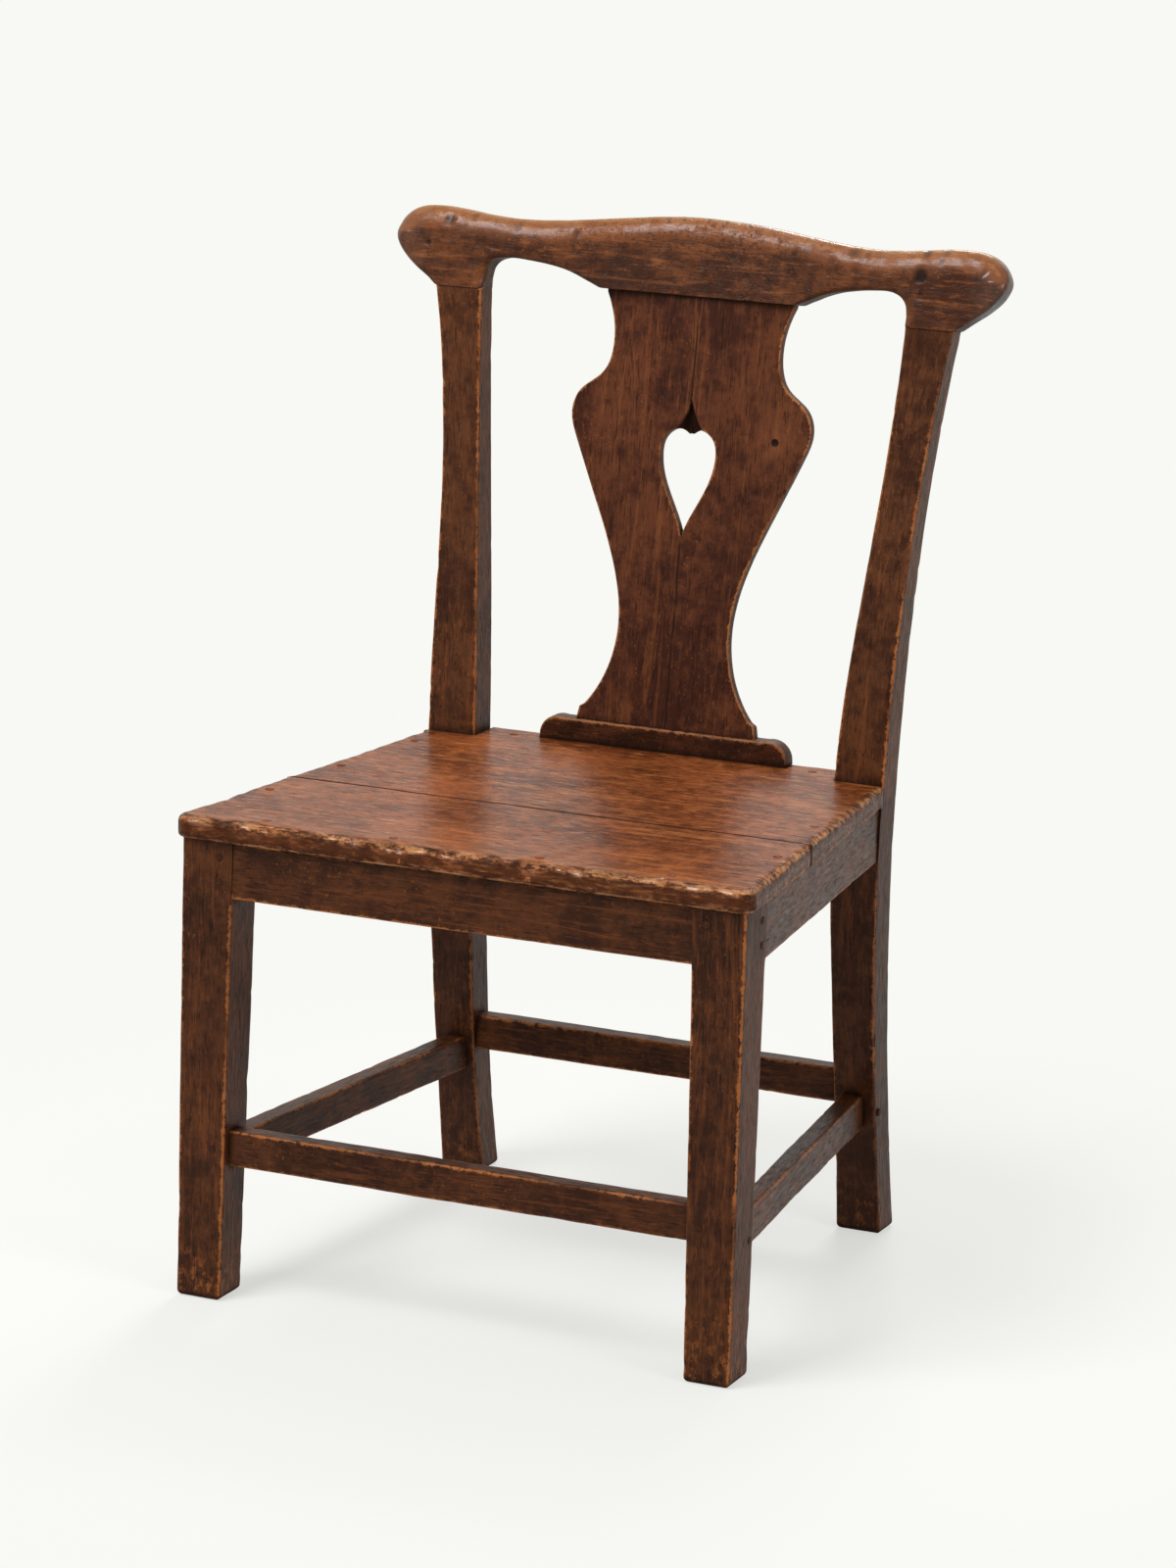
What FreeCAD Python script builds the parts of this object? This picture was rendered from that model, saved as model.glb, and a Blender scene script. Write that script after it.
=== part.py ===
"""Country side chair in oak: square legs, pierced vase splat, serpentine crest rail and plank seat.

Frame: +X to the right of someone facing the chair, +Y towards its back, +Z up, in millimetres.
The origin is on the floor, under the middle of the chair's bounding box.
"""
import FreeCAD, Part
import os
import re

import Sketcher

Vector = FreeCAD.Vector

# Driving dimensions: millimetres, and degrees for the rake of the back
DIMENSIONS = (
    ("seat_height", 440, "floor to the top of the seat boards"),
    ("seat_thick", 20, "thickness of the seat boards"),
    ("seat_front", -269, "front edge of the seat"),
    ("seat_rear", 199, "rear edge of the seat"),
    ("seat_joint", -84, "joint between the front and the rear board"),
    ("seat_gap", 0.6, "shrinkage gap between the boards and round the posts"),
    ("seat_half_front", 272, "half width of the seat at the front"),
    ("seat_half_rear", 229, "half width of the seat at the back posts"),
    ("seat_corner", 14, "plan radius of the front corners of the seat"),
    ("seat_nose", 7, "rounding of the upper edge of the seat"),
    ("seat_under", 4, "rounding of the lower edge of the seat"),
    ("leg_front", -262, "front face of the front legs"),
    ("leg_out", 265.5, "outer face of the front legs, from the middle"),
    ("leg_top", 49, "front leg square at the seat"),
    ("leg_foot", 42.5, "front leg square at the floor"),
    ("arris", 2.5, "rounding of the worn edges of the front legs"),
    ("post_arris", 2, "bevel worn on the edges of the back posts"),
    ("post_front", 158, "front face of the back posts at the seat"),
    ("post_kick", 51, "how far the rear foot stands behind the post at the seat"),
    ("post_kick_mid", 15, "the same at the height post_kick_level"),
    ("post_kick_level", 200, "height of the middle point on the kick of the rear leg"),
    ("post_deep_foot", 35, "front to back depth of the rear foot"),
    ("post_deep", 37, "front to back depth of the post at the seat"),
    ("post_deep_top", 26.5, "front to back depth of the post at the crest"),
    ("post_in", 180, "inner face of the post at the seat, from the middle"),
    ("post_in_foot", 179.5, "inner face of the rear foot"),
    ("post_in_top", 209.5, "inner edge of the post under the crest"),
    ("post_out", 226, "outer face of the rear leg"),
    ("post_out_mid", 234, "outer edge of the post at the height post_mid_level"),
    ("post_mid_level", 655, "height of the middle point on the flare of the post"),
    ("post_out_top", 256, "outer edge of the post under the crest"),
    ("rake", 7.35, "lean of the back, in degrees"),
    ("post_length", 414, "seat top to the underside of the crest ends, along the rake"),
    ("rail_deep", 51, "height of the seat rails"),
    ("rail_thick", 26, "thickness of the seat rails"),
    ("rail_recess", 1, "rail faces behind the leg faces"),
    ("rail_arris", 2, "rounding of the lower edges of the rails"),
    ("tenon_thick", 10, "thickness of rail and stretcher tenons"),
    ("tenon_margin", 6, "rail left above and below its tenon"),
    ("front_tenon", 26, "length of the tenons of the front seat rail"),
    ("side_tenon", 20, "length of the tenons of the side seat rails"),
    ("rear_tenon", 21, "length of the tenons of the rear seat rail"),
    ("root", 4, "length of a tenon that lies within its own rail"),
    ("bar_deep", 33, "height of the stretchers"),
    ("bar_thick", 20, "thickness of the stretchers"),
    ("bar_recess", 10, "stretcher faces behind the leg faces"),
    ("bar_arris", 1.5, "rounding of the long edges of the stretchers"),
    ("bar_margin", 5, "stretcher left above and below its tenon"),
    ("front_bar_z", 123, "underside of the front stretcher"),
    ("side_bar_z", 107, "underside of the side stretchers"),
    ("rear_bar_z", 128, "underside of the rear stretcher"),
    ("rear_bar_y", 188, "front face of the rear stretcher"),
    ("bar_tenon", 18, "length of the tenons of the front and rear stretchers"),
    ("side_bar_tenon", 12.5, "length of the tenons of the side stretchers"),
    ("crest_bow", 22, "hollow of the crest rail in plan"),
    ("crest_bow_half", 235, "half length of the hollow"),
    ("crest_thick", 28, "thickness of the crest rail"),
    ("crest_proud", 1.5, "how far the crest stands in front of the posts"),
    ("crest_blank", 64, "thickness of the blank that the crest is sawn from"),
    ("crest_half", 310, "half length of that blank"),
    ("crest_round", 3, "bevel along the upper edges of the crest"),
    ("crest_tenon", 28, "length of the post tenon in the crest"),
    ("crest_tenon_wide", 24, "width of the post tenon"),
    ("splat_set", 25.5, "front face of the splat behind the front of the posts"),
    ("splat_thick", 10, "thickness of the splat"),
    ("splat_low", 10, "lower end of the splat, along the rake"),
    ("splat_foot", 90, "half width of the splat at the shoe"),
    ("splat_waist", 55.6, "half width of the splat at its waist"),
    ("splat_wide", 119.3, "half width of the splat at its shoulders"),
    ("splat_neck", 82.7, "half width of the splat at its neck"),
    ("splat_head", 93, "half width of the splat under the crest"),
    ("splat_high", 436, "upper end of the splat, inside the crest"),
    ("heart_half", 27.3, "half width of the pierced heart"),
    ("heart_tip", 204, "lower tip of the heart, along the rake"),
    ("heart_lobe", 302, "top of the lobes of the heart"),
    ("heart_cusp", 296.5, "cusp between the lobes"),
    ("chip_peak", 319, "point of the chip carved over the cusp"),
    ("chip_half", 12.5, "half width of that chip on the face"),
    ("shoe_half", 124, "half length of the shoe"),
    ("shoe_high", 22, "height of the shoe on the seat"),
    ("shoe_front", 180.5, "front face of the shoe"),
    ("shoe_deep", 18.5, "front to back depth of the shoe"),
    ("shoe_ease", 2.5, "rounding of the upper edges of the shoe"),
    ("peg_across", 7, "joint pegs, across the corners"),
    ("seat_peg_across", 8, "seat pegs, across the corners"),
    ("peg_long", 28, "length of the joint pegs"),
    ("seat_peg_long", 46, "length of the seat pegs"),
)
ALIASES = {alias for alias, value, note in DIMENSIONS}

doc = FreeCAD.newDocument("side_chair")
sheet = doc.addObject("Spreadsheet::Sheet", "Dims")
for row, (alias, value, note) in enumerate(DIMENSIONS, start=1):
    sheet.set(f"A{row}", note)
    sheet.set(f"B{row}", str(value))
    sheet.setAlias(f"B{row}", alias)
doc.recompute()

PLACES = {"x": "Placement.Base.x", "y": "Placement.Base.y", "z": "Placement.Base.z"}
AXES = {"x": Vector(1, 0, 0), "y": Vector(0, 1, 0), "z": Vector(0, 0, 1)}


def cells(expression):
    """Write an expression on aliases as one on the sheet's cells."""
    def cell(word):
        return f"Dims.{word[0]}" if word[0] in ALIASES else word[0]

    return re.sub(r"[a-z_]+", cell, expression)


def size(expression):
    """Value of an expression on the driving dimensions."""
    return float(sheet.evalExpression(cells(expression)))


def bind(item, **expressions):
    """Tie properties of an object to the sheet."""
    for name, expression in expressions.items():
        item.setExpression(PLACES.get(name, name), cells(expression))
    return item


def block(name, x, y, z, length, width, height):
    """Squared piece of wood, from its lowest corner."""
    return bind(doc.addObject("Part::Box", name), x=x, y=y, z=z, Length=length, Width=width, Height=height)


def rod(name, x, y, z, axis, across, length):
    """Whittled eight-sided peg from a point along a global axis, or against it after a minus sign."""
    peg = doc.addObject("Part::Prism", name)
    peg.Polygon = 8
    way = AXES[axis[-1]] * (-1 if axis.startswith("-") else 1)
    peg.Placement = FreeCAD.Placement(Vector(), FreeCAD.Rotation(AXES["z"], way))
    return bind(peg, x=x, y=y, z=z, Circumradius=f"{across} / 2", Height=length)


def lean(item, across, behind, along):
    """Put an object in the plane of the back: sideways, behind the post fronts, and up along the rake."""
    item.Placement = FreeCAD.Placement(Vector(), FreeCAD.Rotation(Vector(-1, 0, 0), size("rake")))
    item.setExpression("Placement.Rotation.Angle", cells("rake"))
    return bind(
        item,
        x=across,
        y=f"post_front + ({along}) * sin(rake) + ({behind}) * cos(rake)",
        z=f"seat_height + ({along}) * cos(rake) - ({behind}) * sin(rake)",
    )


def cut(name, base, *tools):
    """Base with the tools taken away."""
    waste = doc.addObject("Part::Compound", f"{name}_waste")
    waste.Links = list(tools)
    result = doc.addObject("Part::Cut", name)
    result.Base = base
    result.Tool = waste
    return result


def join(name, *pieces):
    """One solid made of overlapping pieces."""
    result = doc.addObject("Part::MultiFuse", name)
    result.Shapes = list(pieces)
    result.Refine = True
    return result


def group(name, pieces):
    """Separate solids kept together as one sub-part."""
    result = doc.addObject("Part::Compound", name)
    result.Links = list(pieces)
    return result


def mirrored(name, source):
    """The same piece for the other side of the chair."""
    result = doc.addObject("Part::Mirroring", name)
    result.Source = source
    result.Normal = AXES["x"]
    return result


def eased(name, base, radius, wanted, kind="Part::Fillet"):
    """Base with the wanted edges rounded, or bevelled."""
    doc.recompute()
    result = doc.addObject(kind, name)
    result.Base = base
    edges = enumerate(base.Shape.Edges, start=1)
    result.Edges = [(number, size(radius), size(radius)) for number, edge in edges if wanted(edge)]
    return result


def body_plane(body, role):
    """One of the body's own origin planes."""
    return next(plane for plane in body.Origin.OriginFeatures if plane.Role == role)


def sketch(body, name, role, steps, offset="0"):
    """Closed outline on an origin plane of a body.

    The steps are a start point, then ("line", end), ("arc", middle, end) or ("curve", points, end).
    Corners and the middles of arcs are driven by the sheet; the last step ends at the start.
    """
    drawing = body.newObject("Sketcher::SketchObject", name)
    drawing.AttachmentSupport = [(body_plane(body, role), "")]
    drawing.MapMode = "FlatFace"
    drawing.setExpression("AttachmentOffset.Base.z", cells(offset))
    corners = [steps[0]] + [step[-1] for step in steps[1:-1]]

    def spot(pair):
        return Vector(size(pair[0]), size(pair[1]), 0)

    def pin(geometry, end, pair):
        for kind, expression in zip(("DistanceX", "DistanceY"), pair):
            rule = Sketcher.Constraint(kind, -1, 1, geometry, end, size(expression))
            drawing.setExpression(f"Constraints[{drawing.addConstraint(rule)}]", cells(expression))

    def end_near(geometry, point):
        curve = drawing.Geometry[geometry]
        return 1 if curve.StartPoint.distanceToPoint(point) < curve.EndPoint.distanceToPoint(point) else 2

    lines = []
    for start, step in zip(corners, steps[1:]):
        first, last = spot(start), spot(step[-1])
        if step[0] == "line":
            lines.append(drawing.addGeometry(Part.LineSegment(first, last), False))
        elif step[0] == "arc":
            through = spot(step[1])
            leftward = (through - first).cross(last - through).z > 0
            ends = (first, last) if leftward else (last, first)
            lines.append(drawing.addGeometry(Part.Arc(ends[0], through, ends[1]), False))
            middle = drawing.addGeometry(Part.Point(through), True)
            pin(middle, 1, step[1])
            drawing.addConstraint(Sketcher.Constraint("PointOnObject", middle, 1, lines[-1]))
        else:
            curve = Part.BSplineCurve()
            curve.interpolate([first] + [spot(pair) for pair in step[1]] + [last])
            lines.append(drawing.addGeometry(curve, False))
    for number, corner in enumerate(corners):
        here, before = lines[number], lines[number - 1]
        point = spot(corner)
        ends = (before, end_near(before, point), here, end_near(here, point))
        drawing.addConstraint(Sketcher.Constraint("Coincident", *ends))
        pin(here, ends[3], corner)
    return drawing


def half_turned(points):
    """The same points on the other side of the middle line, in the opposite order."""
    return [(f"-({x})", y) for x, y in reversed(points)]


def pad(body, name, drawing, length, reverse=False):
    """Solid raised from an outline."""
    feature = body.newObject("PartDesign::Pad", name)
    feature.Profile = drawing
    feature.Reversed = reverse
    return bind(feature, Length=length)


def pocket(body, name, drawing):
    """Outline sawn right through the body, both ways from its plane; it has to remove something."""
    doc.recompute()
    before = body.Shape.Volume
    feature = body.newObject("PartDesign::Pocket", name)
    feature.Profile = drawing
    feature.Type = "ThroughAll"
    feature.Midplane = True
    doc.recompute()
    assert body.Shape.Volume < before, f"{name} removes nothing"
    return feature


def new_body(name):
    return doc.addObject("PartDesign::Body", name)


def is_long(edge):
    """An edge that runs mostly up and down."""
    box = edge.BoundBox
    return box.ZLength > 2 * max(box.XLength, box.YLength)


def at_height(edge, height):
    """An edge that lies flat at a height."""
    box = edge.BoundBox
    return abs(box.ZMax - height) < 1e-3 and box.ZLength < 1e-3


# Front legs: square, straight outside and tapered on the two inner faces
leg_stock = doc.addObject("Part::Wedge", "leg_stock")
leg_stock.Placement = FreeCAD.Placement(Vector(), FreeCAD.Rotation(AXES["x"], 90))
bind(
    leg_stock,
    Xmin="leg_out - leg_foot", Xmax="leg_out", X2min="leg_out - leg_top", X2max="leg_out",
    Zmin="-leg_front - leg_foot", Zmax="-leg_front", Z2min="-leg_front - leg_top", Z2max="-leg_front",
    Ymin="0", Ymax="seat_height - seat_thick",
)
leg_stock_left = mirrored("leg_stock_left", leg_stock)
leg_shaped = eased("leg_shaped", leg_stock, "arris", is_long)

# Back posts: rear leg and back upright in one piece, kicked back to the foot and raked above the seat
post_stock = new_body("post_stock")
post_top = ("post_front + post_length * sin(rake)", "seat_height + post_length * cos(rake)")
post_top_rear = (
    "post_front + post_length * sin(rake) + post_deep_top * cos(rake)",
    "seat_height + post_length * cos(rake) - post_deep_top * sin(rake)",
)
side_view = sketch(post_stock, "post_side", "YZ_Plane", [
    ("post_front + post_kick", "0"),
    ("curve", [
        ("post_front + post_kick_mid", "post_kick_level"),
        ("post_front", "seat_height"),
        (f"(post_front + {post_top[0]}) / 2", f"(seat_height + {post_top[1]}) / 2"),
    ], post_top),
    ("line", post_top_rear),
    ("curve", [
        (f"(post_front + post_deep + {post_top_rear[0]}) / 2", f"(seat_height + {post_top_rear[1]}) / 2"),
        ("post_front + post_deep", "seat_height"),
        ("post_front + post_deep + post_kick_mid", "post_kick_level"),
    ], ("post_front + post_kick + post_deep_foot", "0")),
    ("line", ("post_front + post_kick", "0")),
])
pad(post_stock, "post_plank", side_view, "crest_half")
post_over = "seat_height + post_length + post_deep"
inner_waste = sketch(post_stock, "post_inner", "XZ_Plane", [
    ("-post_deep", "-post_deep"),
    ("line", ("post_in_foot", "-post_deep")),
    ("curve", [
        ("post_in", "seat_height - seat_thick - 1.5 * rail_deep"),
        ("post_in", "seat_height"),
        ("(post_in + post_in_top) / 2", f"(seat_height + {post_top[1]}) / 2"),
    ], ("post_in_top", post_top[1])),
    ("line", ("post_in_top", post_over)),
    ("line", ("-post_deep", post_over)),
    ("line", ("-post_deep", "-post_deep")),
])
pocket(post_stock, "post_inner_cut", inner_waste)
outer_waste = sketch(post_stock, "post_outer", "XZ_Plane", [
    ("crest_half + post_deep", "-post_deep"),
    ("line", ("post_out", "-post_deep")),
    ("curve", [
        ("post_out", "seat_height - seat_thick - 1.5 * rail_deep"),
        ("post_out + 2", "seat_height"),
        ("post_out_mid", "post_mid_level"),
    ], ("post_out_top", post_top[1])),
    ("line", ("post_out_top", post_over)),
    ("line", ("crest_half + post_deep", post_over)),
    ("line", ("crest_half + post_deep", "-post_deep")),
])
pocket(post_stock, "post_outer_cut", outer_waste)
post_stock_left = mirrored("post_stock_left", post_stock)
crest_tenon = lean(
    bind(doc.addObject("Part::Box", "crest_tenon"), Length="crest_tenon_wide", Width="tenon_thick",
         Height="root + crest_tenon"),
    "(post_in_top + post_out_top - crest_tenon_wide) / 2", "(post_deep_top - tenon_thick) / 2",
    "post_length - root",
)
post_tenoned = join("post_tenoned", post_stock, crest_tenon)
post_shaped = eased(
    "post_shaped", post_tenoned, "post_arris",
    lambda edge: edge.Length > size("crest_tenon") and (is_long(edge) or at_height(edge, 0)),
    kind="Part::Chamfer")

# Seat rails, flush with the legs to within the recess, and their tenons
rail_z = "seat_height - seat_thick - rail_deep"
rail_tenon_z = f"{rail_z} + tenon_margin"
rail_tenon_high = "rail_deep - 2 * tenon_margin"
rail_middle = "(rail_thick - tenon_thick) / 2"
front_rail_stock = block(
    "front_rail_stock", "-leg_out + leg_top / 2", "leg_front + rail_recess", rail_z,
    "2 * leg_out - leg_top", "rail_thick", "rail_deep")
front_tenon = block(
    "front_tenon", "leg_out - leg_top - root", f"leg_front + rail_recess + {rail_middle}", rail_tenon_z,
    "root + front_tenon", "tenon_thick", rail_tenon_high)
rear_rail_y = "post_front + post_deep - rail_thick - rail_recess"
rear_rail_stock = block(
    "rear_rail_stock", "-post_in - rear_tenon", rear_rail_y, rail_z,
    "2 * post_in + 2 * rear_tenon", "rail_thick", "rail_deep")
rear_tenon = block(
    "rear_tenon", "post_in - root", f"{rear_rail_y} + {rail_middle}", rail_tenon_z,
    "root + rear_tenon", "tenon_thick", rail_tenon_high)

# Plan of the tapering sides: outer line from the front leg to the back post
side_start = ("leg_out - rail_recess", "leg_front + leg_top")
side_end = ("post_out - rail_recess", "post_front")
side_slope = f"(({side_start[0]}) - ({side_end[0]})) / (({side_end[1]}) - ({side_start[1]}))"


def side_piece(name, inset, thick, low, high, front_reach, rear_reach):
    """Straight bar along one side of the seat frame, long enough to be scribed to leg and post."""
    body = new_body(name)
    front_y = f"{side_start[1]} - {front_reach}"
    rear_y = f"{side_end[1]} + {rear_reach}"

    def outer(y):
        return f"{side_start[0]} - {inset} - ({y} - ({side_start[1]})) * {side_slope}"

    plan = sketch(body, f"{name}_plan", "XY_Plane", [
        (outer(front_y), front_y),
        ("line", (outer(rear_y), rear_y)),
        ("line", (f"{outer(rear_y)} - {thick}", rear_y)),
        ("line", (f"{outer(front_y)} - {thick}", front_y)),
        ("line", (outer(front_y), front_y)),
    ], offset=low)
    pad(body, f"{name}_bar", plan, high)
    return body


side_rail_stock = side_piece("side_rail_stock", "0", "rail_thick", rail_z, "rail_deep", "root", "root")
side_tenon_front = block(
    "side_tenon_front", f"{side_start[0]} - {rail_middle} - tenon_thick", f"{side_start[1]} - side_tenon",
    rail_tenon_z, "tenon_thick", "side_tenon + root", rail_tenon_high)
side_tenon_rear = block(
    "side_tenon_rear", f"{side_end[0]} - {rail_middle} - tenon_thick", f"{side_end[1]} - root",
    rail_tenon_z, "tenon_thick", "side_tenon + root", rail_tenon_high)

# Box stretcher: the sides sit lower than the front and rear, so that their tenons miss each other
bar_middle = "(bar_thick - tenon_thick) / 2"
bar_tenon_high = "bar_deep - 2 * bar_margin"
front_bar_stock = block(
    "front_bar_stock", "-leg_out + leg_foot / 2", "leg_front + bar_recess", "front_bar_z",
    "2 * leg_out - leg_foot", "bar_thick", "bar_deep")
front_bar_tenon = block(
    "front_bar_tenon", "leg_out - leg_foot - root", f"leg_front + bar_recess + {bar_middle}",
    "front_bar_z + bar_margin", "root + bar_tenon", "tenon_thick", bar_tenon_high)
rear_bar_stock = block(
    "rear_bar_stock", "-post_in - bar_tenon", "rear_bar_y", "rear_bar_z",
    "2 * post_in + 2 * bar_tenon", "bar_thick", "bar_deep")
rear_bar_tenon = block(
    "rear_bar_tenon", "post_in - root", f"rear_bar_y + {bar_middle}",
    "rear_bar_z + bar_margin", "root + bar_tenon", "tenon_thick", bar_tenon_high)
side_bar_stock = side_piece(
    "side_bar_stock", "bar_recess", "bar_thick", "side_bar_z", "bar_deep", "root", "post_kick - root")
side_bar_tenon_front = block(
    "side_bar_tenon_front", f"{side_start[0]} - bar_recess - {bar_middle} - tenon_thick",
    "leg_front + leg_foot - side_bar_tenon", "side_bar_z + bar_margin",
    "tenon_thick", "side_bar_tenon + 2 * root", bar_tenon_high)
side_bar_tenon_rear = block(
    "side_bar_tenon_rear", f"{side_end[0]} - bar_recess - {bar_middle} - tenon_thick",
    "post_front + post_deep - side_bar_tenon - 2 * root", "side_bar_z + bar_margin",
    "tenon_thick", "side_bar_tenon + 3 * root", bar_tenon_high)

# Pegs: two in every seat rail tenon, one in every stretcher tenon
upper_peg = f"{rail_tenon_z} + 0.78 * ({rail_tenon_high})"
lower_peg = f"{rail_tenon_z} + 0.22 * ({rail_tenon_high})"
post_rear = "post_front + post_deep + post_kick"
rail_pegs = []
for level, height in (("upper", upper_peg), ("lower", lower_peg)):
    rail_pegs += [
        rod(f"front_peg_{level}", "leg_out - leg_top + front_tenon / 2", "leg_front", height,
            "y", "peg_across", "peg_long"),
        rod(f"side_front_peg_{level}", "leg_out", f"{side_start[1]} - side_tenon / 2", height,
            "-x", "peg_across", "peg_long"),
        rod(f"side_rear_peg_{level}", "post_out", f"{side_end[1]} + side_tenon / 2", height,
            "-x", "peg_across", "peg_long - root"),
    ]
rear_peg_x = "post_in + rear_tenon / 2"
rear_rods = [
    rod(f"rear_rod_{level}", rear_peg_x, post_rear, height, "-y", "peg_across", "post_kick + peg_long")
    for level, height in (("upper", upper_peg), ("lower", lower_peg))
]
bar_pegs = [
    rod("front_bar_peg", "leg_out - leg_foot + bar_tenon / 2", "leg_front",
        "front_bar_z + bar_deep / 2", "y", "peg_across", "peg_long"),
    rod("side_bar_front_peg", "leg_out", "leg_front + leg_foot - side_bar_tenon / 2",
        "side_bar_z + bar_deep / 2", "-x", "peg_across", "peg_long"),
    rod("side_bar_rear_peg", "post_out", "post_front + post_deep - side_bar_tenon / 4",
        "side_bar_z + bar_deep / 2", "-x", "peg_across", "peg_long"),
]
rear_bar_rod = rod("rear_bar_rod", "post_in + bar_tenon / 2", post_rear, "rear_bar_z + bar_deep / 2",
                   "-y", "peg_across", "post_kick + peg_long - root")


def trimmed(name, peg):
    """Peg pared off flush with the curved back of the post."""
    result = doc.addObject("Part::Common", name)
    result.Base = peg
    result.Tool = post_stock
    return result


rail_pegs += [trimmed(f"rear_peg_{number}", peg) for number, peg in enumerate(rear_rods)]
bar_pegs.append(trimmed("rear_bar_peg", rear_bar_rod))
crest_peg = rod("crest_peg", "0", "0", "0", "z", "peg_across", "post_deep_top - root")
crest_back = "(crest_thick - crest_proud)"
crest_peg_high = "(post_length + crest_tenon / 2)"
crest_peg.Placement = FreeCAD.Placement(
    Vector(), FreeCAD.Rotation(Vector(1, 0, 0), 90 - size("rake")))
crest_peg.setExpression("Placement.Rotation.Angle", cells("90 - rake"))
bind(
    crest_peg,
    x="(post_in_top + post_out_top) / 2",
    y=f"post_front + {crest_peg_high} * sin(rake) + {crest_back} * cos(rake)",
    z=f"seat_height + {crest_peg_high} * cos(rake) - {crest_back} * sin(rake)",
)
rail_pegs += [mirrored(f"{peg.Name}_left", peg) for peg in rail_pegs]
bar_pegs += [mirrored(f"{peg.Name}_left", peg) for peg in bar_pegs]
crest_pegs = [crest_peg, mirrored("crest_peg_left", crest_peg)]

# Seat pegs: along the front rail, each side rail and the rear rail
side_rail_middle = f"{side_start[0]} - rail_thick / 2"
seat_spots = [(f"{share} * leg_out", "leg_front + rail_recess + rail_thick / 2") for share in (0.26, 0.72)]
for share in (0.2, 0.52, 0.86):
    run = f"{share} * (({side_end[1]}) - ({side_start[1]}))"
    seat_spots.append((f"{side_rail_middle} - {run} * {side_slope}", f"{side_start[1]} + {run}"))
seat_spots.append(("post_in - root - rail_thick", f"{rear_rail_y} + rail_thick / 2"))
seat_pegs = [
    rod(f"seat_peg_{number}", x, y, "seat_height", "-z", "seat_peg_across", "seat_peg_long")
    for number, (x, y) in enumerate(seat_spots)
]
seat_pegs += [mirrored(f"{peg.Name}_left", peg) for peg in seat_pegs]

# Splat: a vase-shaped board pierced with a heart, and a chip carved over the heart's cusp
splat_board = new_body("splat_board")
flank = [
    ("0.72 * splat_foot", "70"),
    ("splat_waist", "115"),
    ("1.2 * splat_waist", "177"),
    ("0.765 * splat_wide", "236"),
    ("0.94 * splat_wide", "284"),
    ("splat_wide", "309"),
    ("0.94 * splat_wide", "330"),
    ("0.77 * splat_wide", "347"),
    ("splat_neck", "378"),
    ("splat_neck + 4", "406"),
]
plinth = ("splat_foot - 2.5", "37")
foot_top = ("splat_foot - 7", "39.5")
head_low = ("splat_head", "422")
splat_outline = sketch(splat_board, "splat_outline", "XZ_Plane", [
    ("-splat_foot", "splat_low"),
    ("line", ("splat_foot", "splat_low")),
    ("line", ("splat_foot", "24")),
    ("line", plinth),
    ("line", foot_top),
    ("curve", flank, head_low),
    ("line", ("splat_head", "splat_high")),
    ("line", ("-splat_head", "splat_high")),
    ("line", (f"-({head_low[0]})", head_low[1])),
    ("curve", half_turned(flank), (f"-({foot_top[0]})", foot_top[1])),
    ("line", (f"-({plinth[0]})", plinth[1])),
    ("line", ("-splat_foot", "24")),
    ("line", ("-splat_foot", "splat_low")),
])
pad(splat_board, "splat_plank", splat_outline, "splat_thick", reverse=True)
lobe = [
    ("0.5 * heart_half", "heart_lobe"),
    ("0.9 * heart_half", "heart_lobe - 9"),
    ("heart_half", "heart_lobe - 24"),
    ("0.78 * heart_half", "heart_lobe - 50"),
]
heart = sketch(splat_board, "heart", "XZ_Plane", [
    ("0", "heart_cusp"),
    ("curve", lobe, ("0", "heart_tip")),
    ("curve", half_turned(lobe), ("0", "heart_cusp")),
])
pocket(splat_board, "heart_cut", heart)


def chip(name, peak, half, offset):
    """Triangle of the carved chip at a depth in the board."""
    return sketch(splat_board, name, "XZ_Plane", [
        ("0", peak),
        ("line", (half, "heart_cusp")),
        ("line", (f"-({half})", "heart_cusp")),
        ("line", ("0", peak)),
    ], offset=offset)


chip_cut = splat_board.newObject("PartDesign::SubtractiveLoft", "chip_cut")
chip_cut.Profile = chip("chip_face", "chip_peak", "chip_half", "0")
chip_cut.Sections = [chip("chip_back", "heart_cusp + 1", "1", "-splat_thick")]
chip_cut.Ruled = True
lean(splat_board, "0", "splat_set", "0")

# Crest rail: serpentine top with round ears, sawn hollow in plan from a thick blank
crest_blank = new_body("crest_blank")
ear = [
    ("285", "435"),
    ("298", "450"),
    ("302", "462"),
    ("297", "474"),
    ("284", "484"),
    ("260", "488"),
    ("216", "484"),
    ("180", "481.5"),
    ("121", "485.5"),
    ("60", "493"),
]
crest_end = ("post_out_top", "post_length")
arch_start = ("post_in_top - 2.5", "post_length + 19")
arch = [("203.5", "440"), ("195", "444"), ("178", "445"), ("152", "442.5"), ("128", "437.5"), ("112", "431")]
arch_end = ("splat_head + 4", "post_length + 10.5")
crest_outline = sketch(crest_blank, "crest_outline", "XZ_Plane", [
    crest_end,
    ("curve", ear + [("0", "496.5")] + half_turned(ear), (f"-({crest_end[0]})", crest_end[1])),
    ("line", ("-post_in_top", "post_length")),
    ("line", (f"-({arch_start[0]})", arch_start[1])),
    ("curve", [(f"-{x}", y) for x, y in arch], (f"-({arch_end[0]})", arch_end[1])),
    ("line", arch_end),
    ("curve", list(reversed(arch)), arch_start),
    ("line", ("post_in_top", "post_length")),
    ("line", crest_end),
])
pad(crest_blank, "crest_plank", crest_outline, "crest_blank", reverse=True)


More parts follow.
